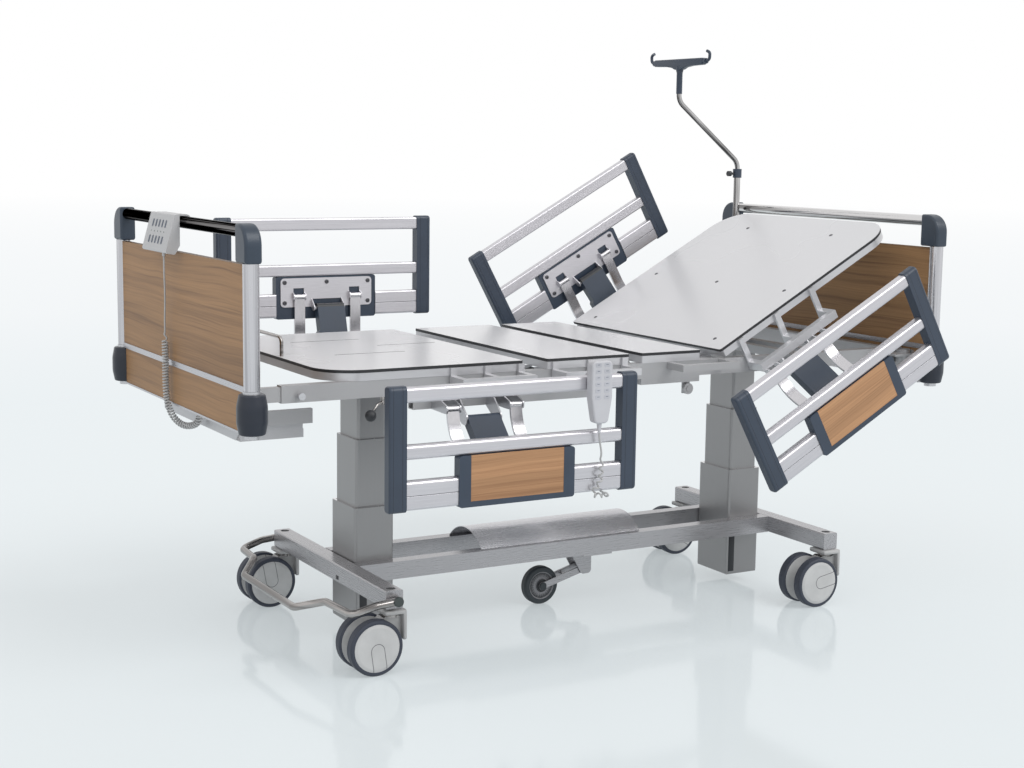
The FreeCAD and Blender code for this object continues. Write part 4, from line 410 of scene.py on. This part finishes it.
def build_by_nodes(name, tree_name, points, settings, lay_out, place, body):
    """Let a node tree lay a shape on some points, and keep the result as a plain mesh in its place."""
    tree = bpy.data.node_groups.new(tree_name, "GeometryNodeTree")
    tree.interface.new_socket("Geometry", in_out="INPUT", socket_type="NodeSocketGeometry")
    tree.interface.new_socket("Geometry", in_out="OUTPUT", socket_type="NodeSocketGeometry")
    for label in settings:
        tree.interface.new_socket(label, in_out="INPUT", socket_type="NodeSocketFloat")
    entry, leave = tree.nodes.new("NodeGroupInput"), tree.nodes.new("NodeGroupOutput")

    def step(kind, outlet=0, **wires):
        return add_node(tree, kind if kind.startswith("Shader") else "GeometryNode" + kind, outlet, wires)

    result = lay_out(step, entry.outputs)
    tree.links.new(result, leave.inputs[0])
    mesh = bpy.data.meshes.new(name)
    mesh.from_pydata([tuple(point) for point in points], [], [])
    piece = bpy.data.objects.new(name, mesh)
    bpy.context.scene.collection.objects.link(piece)
    maker = piece.modifiers.new("maker", "NODES")
    maker.node_group = tree
    for item in tree.interface.items_tree:
        if item.in_out == "INPUT" and item.name in settings:
            maker[item.identifier] = settings[item.name]
    graph = bpy.context.evaluated_depsgraph_get()
    made = bpy.data.meshes.new_from_object(piece.evaluated_get(graph))
    piece.modifiers.clear()
    piece.data = made
    made.transform(place)
    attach(piece, body)


def pan_head(head_finish, socket_painted_shade):
    """A domed screw head with a hexagon socket, on every point; the socket is a thin black hexagon on the
    head, painted shade in place of the recess.
    """
    def lay_out(step, given):
        head = step("MeshCone", Vertices=20, Radius_Top=given["Top radius"],
                    Radius_Bottom=given["Head radius"], Depth=given["Head height"])
        # Painted shade: this thin hexagon disc gets the black finish to stand for the socket's dark recess.
        hollow = step("MeshCylinder", Vertices=6, Radius=given["Socket radius"], Depth=0.0002)
        lift = step("ShaderNodeCombineXYZ", Z=given["Head height"])
        hollow = step("Transform", Geometry=hollow, Translation=lift)
        hollow = step("StoreNamedAttribute", Geometry=hollow, data_type="BOOLEAN", domain="FACE",
                      Name="socket", Value=True)
        whole = step("JoinGeometry", Geometry=[head, hollow])
        spread = step("InstanceOnPoints", Points=given["Geometry"], Instance=whole)
        real = step("RealizeInstances", Geometry=spread)
        painted = step("SetMaterial", Geometry=real, Material=head_finish)
        chosen = step("InputNamedAttribute", data_type="BOOLEAN", Name="socket")
        return step("SetMaterial", Geometry=painted, Selection=chosen, Material=socket_painted_shade)
    return lay_out


back_angle, back_hinge, board_top = math.radians(29), (0.393, 0, 0.760), 0.047
up_slope = Vector((-math.sin(back_angle), 0, math.cos(back_angle)))
slope = Matrix.Translation(back_hinge) @ Matrix.Rotation(-back_angle, 4, "Y")
dress("backrest_board", [pale_board, black_core], lambda at, normal: abs(normal.dot(up_slope)) < 0.5)
dress("backrest_frame", [rim_silver])
screw_dark = brushed("screw_dark", (0.11, 0.11, 0.12), (1.0, 1.0, 1.0), 0.35, 0.8)
board_screws = [(0.05, -0.325, 0), (0.05, 0.325, 0), (0.325, -0.335, 0), (0.325, 0, 0), (0.325, 0.335, 0),
                (0.64, -0.21, 0), (0.64, 0.21, 0)]
build_by_nodes("backrest_board_screws", "screws_backrest", board_screws,
               {"Head radius": 0.0062, "Top radius": 0.0050, "Head height": 0.0011, "Socket radius": 0.0026},
               pan_head(screw_dark, black_plastic), slope @ Matrix.Translation((0, 0, board_top)),
               "backrest")


# Side rails
# Three aluminium bars between plastic end caps, on a swing-down parallelogram linkage.
# Outside sits an oak inset in a plastic housing, inside the zinc-plated hinge plate with its screws.

def oak(name, light, dark, turn=(0, 0, 0), streaks=40.0):
    """Oak laminate: uneven streaks that run along the turned X axis, thin dark lines and fine fibres."""
    made = finish(name, 0.0, 0.5, Specular_IOR_Level=0.3)
    where = layer(made, "TexCoord", "Object")
    laid = layer(made, "Mapping", Vector=where, Rotation=turn)
    bend_at = layer(made, "Mapping", Vector=laid, Scale=(1.8, 3.5, 3.5))
    bend = layer(made, "TexNoise", Vector=bend_at, Scale=1.0, Detail=2.0)
    lift = layer(made, "CombineXYZ", Z=layer(made, "Math", operation="MULTIPLY", i0=bend, i1=0.045))
    bent = layer(made, "VectorMath", "Vector", operation="ADD", i0=laid, i1=lift)

    def grain(along, across, detail):
        stretched = layer(made, "Mapping", Vector=bent, Scale=(along, across, across))
        return layer(made, "TexNoise", Vector=stretched, Scale=1.0, Detail=detail, Roughness=0.55)

    band, streak = grain(0.6, streaks * 0.35, 1.0), grain(0.9, streaks, 3.0)
    line, fibre = grain(1.4, streaks * 3.2, 2.0), grain(5.0, 330.0, 4.0)
    pale = [value * 1.06 for value in light]
    deep = [value * 0.84 for value in light]
    ground = shade(made, band, deep, pale, 0.35, 0.65)
    broad = layer(made, "MapRange", Value=streak, From_Min=0.5, From_Max=0.68, To_Max=0.55)
    streaked = blend(made, broad, ground, (*dark, 1))
    thin = layer(made, "MapRange", Value=line, From_Min=0.56, From_Max=0.7, To_Max=0.6)
    lined = blend(made, thin, streaked, (*dark, 1))
    fine = layer(made, "MapRange", Value=fibre, From_Min=0.3, From_Max=0.7, To_Min=0.88, To_Max=1.1)
    mixed = layer(made, "VectorMath", "Vector", operation="SCALE", i0=lined, Scale=fine)
    bump = layer(made, "Bump", Strength=0.08, Distance=0.0003, Height=fibre)
    return coat(made, Base_Color=mixed, Normal=bump)


def on_rail(made, to_local):
    """The rail's own coordinates, from the place and tilt of its upper pivot."""
    where = layer(made, "TexCoord", "Object")
    moved = layer(made, "Mapping", Vector=where, Location=[-value for value in to_local[0]])
    local = layer(made, "Mapping", Vector=moved, Rotation=to_local[1])
    return local, split(made, local)


def groove_line(made, value, place, half_width=0.0008):
    """0 in a narrow groove where the value passes the place, and 1 beside it."""
    off = layer(made, "Math", operation="SUBTRACT", i0=value, i1=place)
    return layer(made, "MapRange", Value=layer(made, "Math", operation="ABSOLUTE", i0=off),
                 From_Min=half_width * 0.5, From_Max=half_width * 1.5)


def rail_aluminium(name, to_local, seam):
    """Satin anodised profile, drawn along the rail; the low bars have a seam at this height."""
    made = finish(name, 0.75, 0.3)
    local, parts = on_rail(made, to_local)
    drawn = layer(made, "Mapping", Vector=local, Scale=(0.02, 1.0, 1.0))
    lines = layer(made, "TexNoise", Vector=drawn, Scale=260.0, Detail=3.0, Roughness=0.7)
    colour = shade(made, lines, (0.55, 0.54, 0.57), (0.63, 0.62, 0.65))
    relief = layer(made, "Bump", Strength=0.02, Distance=0.0003, Height=lines)
    if seam is not None:
        line = groove_line(made, parts[2], seam)
        colour = blend(made, line, (0.07, 0.07, 0.08, 1), colour)
        relief = layer(made, "Bump", Strength=0.7, Distance=0.001, Height=line, Normal=relief)
    return coat(made, Base_Color=colour, Normal=relief)


def cap_plastic(name, to_local):
    """The end caps' navy-grey plastic, with two moulded grooves down the length of each cap, bumped and
    painted darker as painted shade.
    """
    inner_groove, outer_groove, half_width = 0.3215, 0.3465, 0.0007
    made = finish(name, 0.0, 0.4)
    local, parts = on_rail(made, to_local)
    cloud = layer(made, "TexNoise", Vector=local, Scale=9.0, Detail=4.0, Roughness=0.55)
    out = layer(made, "Math", operation="ABSOLUTE", i0=parts[0])
    grooves = layer(made, "Math", operation="MINIMUM", i0=groove_line(made, out, inner_groove, half_width),
                    i1=groove_line(made, out, outer_groove, half_width))
    skin = shade(made, cloud, (0.030, 0.043, 0.067), (0.037, 0.053, 0.082))
    # Painted shade: the grooves take a darker navy in place of the shade in the recess.
    colour = blend(made, grooves, (0.016, 0.023, 0.038, 1), skin)
    bump = layer(made, "Bump", Strength=0.6, Distance=0.0008, Height=grooves)
    return coat(made, Base_Color=colour, Normal=bump)


inset_oak = {"light": (0.47, 0.26, 0.135), "dark": (0.26, 0.13, 0.065), "streaks": 85.0}
arm_steel = brushed("arm_steel", (0.60, 0.59, 0.61), (1.0, 1.0, 0.05), 0.22, 0.95)
plate_steel = brushed("hinge_plate", (0.62, 0.61, 0.64), (0.05, 1.0, 1.0), 0.34, 0.8)
swing = {"near": math.radians(135.8), "far": math.radians(15.8)}
pivot_y, arm_run, link_black = 0.483, 0.208, 0.192
cap_inner, low_bars_top, bar_seam = 0.3098, 0.02, -0.0275
inset_half, inset_bottom, inset_face = 0.13405, -0.05455, 0.03345
plate_face, seat_radius, seat_low, seat_high, heads_on = 0.0089, 0.0067, 0.0034, 0.00595, 0.0035
plate_screws = [(-0.139, 0.044), (0.139, 0.044), (-0.139, -0.019), (0.139, -0.019), (0, 0.044)]
for end in ("foot", "head"):
    for side, sign in (("near", -1), ("far", 1)):
        at = (-0.435, sign * pivot_y, 0.704) if end == "foot" else (0.196, sign * pivot_y, -0.0705)
        mount = Matrix.Translation(at) @ Matrix.Rotation(math.pi if side == "near" else 0, 4, "Z")
        if end == "head":
            mount = slope @ mount
        reach = Vector((0, arm_run * math.sin(swing[side]), arm_run * math.cos(swing[side])))
        place = mount @ Matrix.Translation(reach)
        inverse = place.inverted()
        name = f"rail_{end}_{side}"
        tilt = (0, back_angle, 0) if end == "head" else (0, 0, 0)
        to_local = (tuple(place.translation), tilt)

        def frame_part(at, normal):
            here = inverse @ at
            if abs(here.x) > cap_inner:
                return 2
            return 1 if here.z < low_bars_top else 0

        def panel_part(at, normal):
            here = inverse @ at
            if abs(here.x) < inset_half and here.z > inset_bottom and here.y > inset_face:
                return 1
            if here.y < plate_face:
                near_screw = min(math.hypot(here.x - x, here.z - z) for x, z in plate_screws)
                return 3 if near_screw < seat_radius and seat_low < here.y < seat_high else 2
            return 0

        bars = rail_aluminium(f"{name}_aluminium", to_local, None)
        low_bars = rail_aluminium(f"{name}_aluminium_seamed", to_local, bar_seam)
        wood = oak(f"{name}_oak", **inset_oak, turn=tilt)
        caps = cap_plastic(f"{name}_caps", to_local)
        dress(f"{name}_frame", [bars, low_bars, caps], frame_part)
        dress(f"{name}_panel", [navy_plastic, wood, plate_steel, screw_dark], panel_part)
        dress(f"{name}_arms", [arm_steel])
        link_up = (place.translation - mount.translation).normalized()
        low_pivot = mount @ Vector((0, -0.010, -0.035))
        dress(f"{name}_link", [navy_plastic, black_plastic],
              lambda at, normal: (at - low_pivot).dot(link_up) > link_black)
        inside = place @ Matrix.Translation((0, heads_on, 0)) @ Matrix.Rotation(math.radians(90), 4, "X")
        build_by_nodes(f"{name}_screws", f"screws_{name}", [(x, z, 0) for x, z in plate_screws],
                       {"Head radius": 0.0064, "Top radius": 0.0048, "Head height": 0.002,
                        "Socket radius": 0.0028},
                       pan_head(screw_dark, black_plastic), inside, name)


# End boards
# Lift-off boards at head and foot: anodised posts in moulded corner caps, a polished handrail,
# an aluminium trim and an oak laminate panel. Below each stays a fixed panel with corner bumpers.

# Painted reflections: the foot handrail's colour is mostly near-black with light streaks, and the head
# handrail's is light with dark streaks.
chrome_foot_painted_reflections = polished("chrome_foot_painted_reflections", (0.44, 0.43, 0.43), 0.07, (1.6, 0.01, 1.6), 0.06, 0.5, 0.62)
chrome_foot_painted_reflections.node_tree.nodes["Principled BSDF"].inputs["Specular Tint"].default_value = (0.12, 0.12, 0.12, 1)
chrome_head_painted_reflections = polished("chrome_head_painted_reflections", (0.66, 0.65, 0.65), 0.08, (1.0, 0.012, 1.0), 0.25, 0.36, 0.5)
post_aluminium = polished("aluminium_post", (0.60, 0.595, 0.62), 0.2, (1.0, 1.0, 0.01), 0.7, 0.36, 0.56)
trim_aluminium = brushed("aluminium_trim", (0.50, 0.495, 0.52), (1.0, 0.02, 1.0), 0.28, 0.85, 0.04)
across_grain = (0, 0, math.radians(90))
board_oak = oak("end_board_oak", (0.345, 0.192, 0.088), (0.16, 0.085, 0.042), across_grain)
board_edge = moulded("panel_edge_brown", (0.10, 0.06, 0.035), 0.5)
corner_navy = moulded("corner_cap_navy", (0.028, 0.043, 0.066), 0.38)
bumper_navy = moulded("bumper_navy", (0.011, 0.016, 0.028), 0.34)
corner_low, corner_inner, handrail_low, trim_end = 1.0919, 0.4619, 1.12, 0.488


def frame_piece(at, normal):
    """Corner caps, handrail and trim, on aluminium posts."""
    if at.z > corner_low and abs(at.y) > corner_inner:
        return 1
    if at.z > handrail_low:
        return 2
    return 3 if abs(at.y) < trim_end else 0


for name, chrome in (("footboard", chrome_foot_painted_reflections), ("headboard", chrome_head_painted_reflections)):
    dress(f"{name}_frame", [post_aluminium, corner_navy, chrome, trim_aluminium], frame_piece)
    dress(f"{name}_panel", [board_oak, board_edge], lambda at, normal: abs(normal.x) < 0.5)

ring_steel = brushed("collar_ring", (0.55, 0.55, 0.57), (1.0, 1.0, 0.3), 0.28, 0.9)
bumper_inner, bumper_low, bumper_top, strip_top = 0.4735, 0.6819, 0.7811, 0.6821


def lower_piece(at, normal):
    """Bumpers between collar rings at the corners, an edged oak panel and the trim under it."""
    if abs(at.y) > bumper_inner:
        return 2 if at.z > bumper_top or at.z < bumper_low else 1
    if at.z < strip_top:
        return 3
    return 0 if abs(normal.x) > 0.5 else 4


for name in ("foot_end_panel", "head_end_panel"):
    dress(name, [board_oak, bumper_navy, ring_steel, trim_aluminium, board_edge], lower_piece)


# Foot extension and linen shelf
# Silver-coated telescope bars carry the foot end; a sheet-steel shelf for bedding slides under it.

dress("foot_extension_frame", [silver_coat])
shelf_coat = brushed("coating_shelf", (0.50, 0.50, 0.515), (1.0, 1.0, 1.0), 0.36, 0.5, 0.04)
dress("linen_shelf", [shelf_coat])
dress("extension_clamp_screw", [polished("clamp_polish", (0.62, 0.62, 0.64), 0.14)])
grip_x, grip_top = -0.71, 0.706
dress("release_lever", [steel_tube, black_plastic], lambda at, normal: at.x < grip_x and at.z < grip_top)


# Infusion pole
# A polished steel tube in the far head corner, cranked over the bed, with a black clamp knob,
# a navy-grey grip sleeve and a navy-grey hook bar.

pole_steel = polished("pole_steel", (0.58, 0.57, 0.57), 0.08, (0.02, 1.0, 0.02), 0.12, 0.42, 0.56)
lower_sleeve, hook_bar_low = 1.2715, 1.6395
dress("iv_pole_lower", [pole_steel, navy_plastic], lambda at, normal: at.z > lower_sleeve)
dress("iv_pole_upper", [pole_steel, navy_plastic], lambda at, normal: at.z > hook_bar_low)
dress("iv_pole_clamp", [black_plastic])
pole_x, crank_reach, pole_y = 1.045, 0.252, 0.430
pole_top = (pole_x - crank_reach, pole_y)
turned("pole_sleeve", [(0.0084, 1.550), (0.0096, 1.550), (0.0100, 1.553), (0.0100, 1.618), (0.0125, 1.628),
                       (0.0125, 1.6405), (0.0084, 1.6405)],
       Matrix.Translation((*pole_top, 0)), navy_plastic, "pole_upper")
bar_shape = bmesh.new()
profile = [(-0.136, 0.0105), (0.136, 0.0105), (0.140, 0.004), (0.136, -0.0115), (0.070, -0.0135),
           (0.036, -0.0175), (0.018, -0.0245), (-0.018, -0.0245), (-0.036, -0.0175), (-0.070, -0.0135),
           (-0.136, -0.0115), (-0.140, 0.004)]
half_thick = 0.0105
front = [bar_shape.verts.new((-half_thick, y, z)) for y, z in profile]
back = [bar_shape.verts.new((half_thick, y, z)) for y, z in profile]
bar_shape.faces.new(front)
bar_shape.faces.new(back)
for number in range(len(profile)):
    after = (number + 1) % len(profile)
    bar_shape.faces.new([front[number], front[after], back[after], back[number]])
bmesh.ops.recalc_face_normals(bar_shape, faces=bar_shape.faces)
bmesh.ops.bevel(bar_shape, geom=bar_shape.edges[:], offset=0.003, segments=3, profile=0.5, affect="EDGES")
settle("hook_bar_cover", bar_shape, Matrix.Translation((*pole_top, 1.654)), navy_plastic, "pole_upper")


# Staff control panel
# A light grey control box hooked over the foot handrail, with two rows of long keys and a row of lamps.

def keys(finish_of_keys):
    """A rounded key on every point."""
    def lay_out(step, given):
        outline = step("CurvePrimitiveQuadrilateral", Width=given["Key width"], Height=given["Key height"])
        eased = step("FilletCurve", mode="POLY", Curve=outline, Radius=given["Corner"], Count=4)
        face = step("FillCurve", mode="NGONS", Curve=eased)
        back = step("FlipFaces", Mesh=face)
        raised = step("ExtrudeMesh", Mesh=face, Offset_Scale=given["Rise"])
        whole = step("JoinGeometry", Geometry=[raised, back])
        closed = step("MergeByDistance", Geometry=whole, Distance=0.00001)
        spread = step("InstanceOnPoints", Points=given["Geometry"], Instance=closed)
        real = step("RealizeInstances", Geometry=spread)
        return step("SetMaterial", Geometry=real, Material=finish_of_keys)
    return lay_out


control_grey = moulded("control_grey", (0.50, 0.50, 0.51), 0.42, 700.0, 0.2, 0.05)
key_blue = moulded("key_grey_blue", (0.10, 0.12, 0.16), 0.45, 900.0, 0.2)
dress("staff_control_panel", [control_grey])
lean = math.atan2(0.028, 0.1)
upright = Matrix.Rotation(math.radians(90), 4, "X")
panel_face = Matrix.Translation((-1.1253, 0.056, 1.1373)) @ Matrix.Rotation(lean, 4, "Y") \
    @ Matrix.Rotation(math.radians(-90), 4, "Z") @ upright
columns = [(number - 2) * 0.026 - 0.006 for number in range(5)]
lamp_row, row_off = 0.002, 0.022
bars_at = [(across, lamp_row + side * row_off, 0.0) for side in (-1, 1) for across in columns]
build_by_nodes("staff_panel_keys", "staff_panel_keys", bars_at,
               {"Key width": 0.008, "Key height": 0.02, "Corner": 0.003, "Rise": 0.0012},
               keys(key_blue), panel_face, "footboard")
lamp_window = moulded("lamp_window", (0.22, 0.26, 0.24), 0.2)
lamps_at = [(across, lamp_row, 0.0) for across in columns]
build_by_nodes("staff_panel_lamps", "staff_panel_lamps", lamps_at,
               {"Key width": 0.004, "Key height": 0.004, "Corner": 0.0019, "Rise": 0.0008},
               keys(lamp_window), panel_face, "footboard")


# Patient handset
# A light grey hand control hung on the near foot rail by a hook, with two columns of membrane keys.

handset_grey = moulded("handset_grey", (0.53, 0.53, 0.56), 0.38, 700.0, 0.15, 0.04)
dress("handset", [handset_grey])
handset_face = Matrix.Translation((-0.205, -0.6912, 0.783)) @ upright
membrane_at = [(column * 0.013, 0.0425 - row * 0.0165, 0.0) for column in (-1, 1) for row in range(6)]
membrane_grey = moulded("membrane_grey", (0.47, 0.475, 0.515), 0.45, 900.0, 0.2)
key_rise = 0.0007
build_by_nodes("handset_keys", "handset_keys", membrane_at,
               {"Key width": 0.017, "Key height": 0.0105, "Corner": 0.003, "Rise": key_rise},
               keys(membrane_grey), handset_face, "rail_foot_near")
marks_at = [(across, height + 0.001, key_rise) for across, height, _ in membrane_at]
build_by_nodes("handset_marks", "handset_marks", marks_at,
               {"Key width": 0.0075, "Key height": 0.0013, "Corner": 0.0004, "Rise": 0.0001},
               keys(key_blue), handset_face, "rail_foot_near")
turned("handset_relief", [(0, 0.004), (0.0068, 0.004), (0.0064, -0.004), (0.0044, -0.022),
                          (0.0036, -0.026), (0, -0.026)],
       Matrix.Translation((-0.205, -0.6782, 0.674)), handset_grey, "rail_foot_near")


# Control cords
# Light grey curly cords of 5 mm: the staff panel's runs down the foot board into a gland on the
# extension, the handset's hangs bunched over the lower rail bar and ends in that bar's underside.

def spline_object(name, points, resolution):
    """One smooth open spline that starts and ends at the ends of its points."""
    curve = bpy.data.curves.new(name, "CURVE")
    curve.dimensions = "3D"
    curve.resolution_u = resolution
    spline = curve.splines.new("NURBS")
    spline.points.add(len(points) - 1)
    for knot, point in zip(spline.points, points):
        knot.co = (*point, 1)
    spline.order_u = 3
    spline.use_endpoint_u = True
    piece = bpy.data.objects.new(name, curve)
    bpy.context.scene.collection.objects.link(piece)
    return piece


def smooth_line(points):
    """The points of the smooth line along a route."""
    holder = spline_object("route", points, 16)
    graph = bpy.context.evaluated_depsgraph_get()
    mesh = bpy.data.meshes.new_from_object(holder.evaluated_get(graph))
    line = [vertex.co.copy() for vertex in mesh.vertices]
    bpy.data.objects.remove(holder)
    return line


def curl(line, radius, pitch):
    """Helix points round a line; radius and pitch are functions of the share of its length."""
    steps = 12
    lengths = [0.0]
    for before, after in zip(line, line[1:]):
        lengths.append(lengths[-1] + (after - before).length)
    total = lengths[-1]
    out = (line[1] - line[0]).normalized().orthogonal().normalized()
    points, travelled, turn, number = [], 0.0, 0.0, 0
    while travelled < total:
        while lengths[number + 1] < travelled:
            number += 1
        share = (travelled - lengths[number]) / (lengths[number + 1] - lengths[number])
        middle = line[number].lerp(line[number + 1], share)
        heading = (line[number + 1] - line[number]).normalized()
        out = (out - heading * out.dot(heading)).normalized()
        side = heading.cross(out)
        size = radius(travelled / total)
        points.append(middle + (out * math.cos(turn) + side * math.sin(turn)) * size)
        turn += 2 * math.pi / steps
        travelled += pitch(travelled / total) / steps
    return points


def cord_piece(name, points, thick, made, body):
    """A cord as a round bevel on one smooth open spline."""
    piece = spline_object(name, points, 3)
    piece.data.bevel_depth = thick / 2
    piece.data.bevel_resolution = 3
    piece.data.use_fill_caps = True
    piece.data.materials.append(made)
    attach(piece, body)
    return piece


cord_grey = moulded("cord_light_grey", (0.45, 0.45, 0.45), 0.5, 600.0, 0.3, 0.06)
staff_lead = [(-1.1263, 0.008, 1.0773), (-1.1263, 0.008, 1.0353), (-1.1203, 0.022, 0.9893),
              (-1.112, 0.048, 0.9473), (-1.108, 0.065, 0.9073), (-1.108, 0.065, 0.88)]
staff_coil = [(-1.108, 0.065, 0.872), (-1.108, 0.065, 0.760), (-1.108, 0.062, 0.690),
              (-1.100, 0.046, 0.648), (-1.080, 0.014, 0.622), (-1.058, -0.024, 0.628),
              (-1.052, -0.046, 0.650), (-1.052, -0.046, 0.684)]


def wound(share, ends):
    """How far the coil is wound at a share of its run: it opens out over both ends."""
    return min(1, share * ends, (1 - share) * ends)


def winding(tight, ends):
    """The pitch at a share of the run, wide where the coil is small, so that the cord never kinks."""
    widening, onset = 0.018, 3.5
    return lambda share: tight + widening * min(1, (1 - wound(share, ends)) * onset)


staff_radius, staff_pitch, staff_ends = 0.0072, 0.0078, 14
helix = curl(smooth_line(staff_coil), lambda share: staff_radius * wound(share, staff_ends),
             winding(staff_pitch, staff_ends))
staff_points = [Vector(point) for point in staff_lead] + helix
staff_cord = cord_piece("staff_cord", staff_points, 0.005, cord_grey, "extension")
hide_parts("staff_cord_lead", "staff_cord_coil")

handset_lead = [(-0.205, -0.6782, 0.674), (-0.205, -0.6782, 0.638), (-0.196, -0.6772, 0.600)]
handset_bunch = [(-0.196, -0.6772, 0.590), (-0.196, -0.6765, 0.552), (-0.196, -0.676, 0.522),
                 (-0.209, -0.676, 0.503), (-0.219, -0.676, 0.494), (-0.214, -0.676, 0.4845),
                 (-0.196, -0.676, 0.4835), (-0.178, -0.6755, 0.484), (-0.172, -0.671, 0.4835),
                 (-0.176, -0.660, 0.4835), (-0.182, -0.652, 0.488), (-0.182, -0.650, 0.4925)]
handset_radius, handset_pitch, handset_ends = 0.0056, 0.02, 7
bunch = curl(smooth_line(handset_bunch), lambda share: handset_radius * wound(share, handset_ends),
             winding(handset_pitch, handset_ends))
handset_points = [Vector(point) for point in handset_lead] + bunch
handset_cord = cord_piece("handset_cord", handset_points, 0.005, cord_grey, "rail_foot_near")
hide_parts("handset_cord_lead", "handset_cord_coil")


# Studio
# A pale floor that fades into a white background, level sky light with two soft suns,
# and the camera at the photograph's place.

ground = bpy.data.meshes.new("floor")
ground.from_pydata([(-90, -90, 0), (90, -90, 0), (90, 90, 0), (-90, 90, 0)], [], [(0, 1, 2, 3)])
floor = bpy.data.objects.new("floor", ground)
bpy.context.scene.collection.objects.link(floor)
pale = finish("floor_pale", 0.0, 0.08, Specular_IOR_Level=0.42)
where = layer(pale, "TexCoord", "Object")
away = layer(pale, "VectorMath", "Value", operation="LENGTH", i0=where)
speck = layer(pale, "TexNoise", Vector=where, Scale=1.2, Detail=3.0)
near_tone = layer(pale, "MapRange", Value=away, From_Min=1.0, From_Max=9.0)
near_colour = blend(pale, near_tone, (0.79, 0.85, 0.872, 1), (0.90, 0.925, 0.94, 1))
far_tone = layer(pale, "MapRange", Value=away, From_Min=9.0, From_Max=36.0)
tone = blend(pale, far_tone, near_colour, (1, 1, 1, 1))
gloss = layer(pale, "MapRange", Value=speck, To_Min=0.07, To_Max=0.11)
coat(pale, Base_Color=tone, Roughness=gloss)
fade = layer(pale, "MapRange", Value=away, From_Min=1.9, From_Max=4.5, To_Min=0.42)
glow = layer(pale, "Emission", Color=tone, Strength=1.0)
surface = layer(pale, "MixShader", i0=fade, i1=pale.node_tree.nodes["Principled BSDF"].outputs[0], i2=glow)
pale.node_tree.links.new(surface, pale.node_tree.nodes["Material Output"].inputs["Surface"])
ground.materials.append(pale)

world = bpy.data.worlds.new("studio")
bpy.context.scene.world = world
world.use_nodes = True
rays = layer(world, "LightPath").node.outputs
seen = layer(world, "Math", operation="MAXIMUM", i0=rays["Is Camera Ray"], i1=rays["Is Glossy Ray"])
also = layer(world, "Math", operation="MAXIMUM", i0=seen, i1=rays["Is Transmission Ray"])
backdrop = world.node_tree.nodes["Background"]
backdrop.inputs["Color"].default_value = (1, 1, 1, 1)
world.node_tree.links.new(layer(world, "MapRange", Value=also, To_Min=0.62), backdrop.inputs["Strength"])

for name, turn, strength, soft in (("key", (math.radians(46), 0, math.radians(32)), 1.25, 35),
                                   ("fill", (math.radians(40), 0, math.radians(-62)), 0.35, 60)):
    lamp = bpy.data.lights.new(name, "SUN")
    lamp.energy = strength
    lamp.angle = math.radians(soft)
    sun = bpy.data.objects.new(name, lamp)
    sun.rotation_euler = turn
    bpy.context.scene.collection.objects.link(sun)

eye = bpy.data.cameras.new("camera")
eye.sensor_width = 36.0
eye.lens = 59.30
camera = bpy.data.objects.new("camera", eye)
bpy.context.scene.collection.objects.link(camera)
yaw, pitch, roll = math.radians(29.58), math.radians(8.21), math.radians(0.77)
forward = Vector((math.sin(yaw) * math.cos(pitch), math.cos(yaw) * math.cos(pitch), -math.sin(pitch)))
right = Vector((math.cos(yaw), -math.sin(yaw), 0))
up = right.cross(forward)
level_right = right * math.cos(roll) + up * math.sin(roll)
level_up = up * math.cos(roll) - right * math.sin(roll)
facing = Matrix((level_right, level_up, -forward)).transposed().to_4x4()
camera.matrix_world = Matrix.Translation((-2.50825, -4.27991, 1.38808)) @ facing
bpy.context.scene.camera = camera
bpy.context.scene.view_settings.view_transform = "Standard"
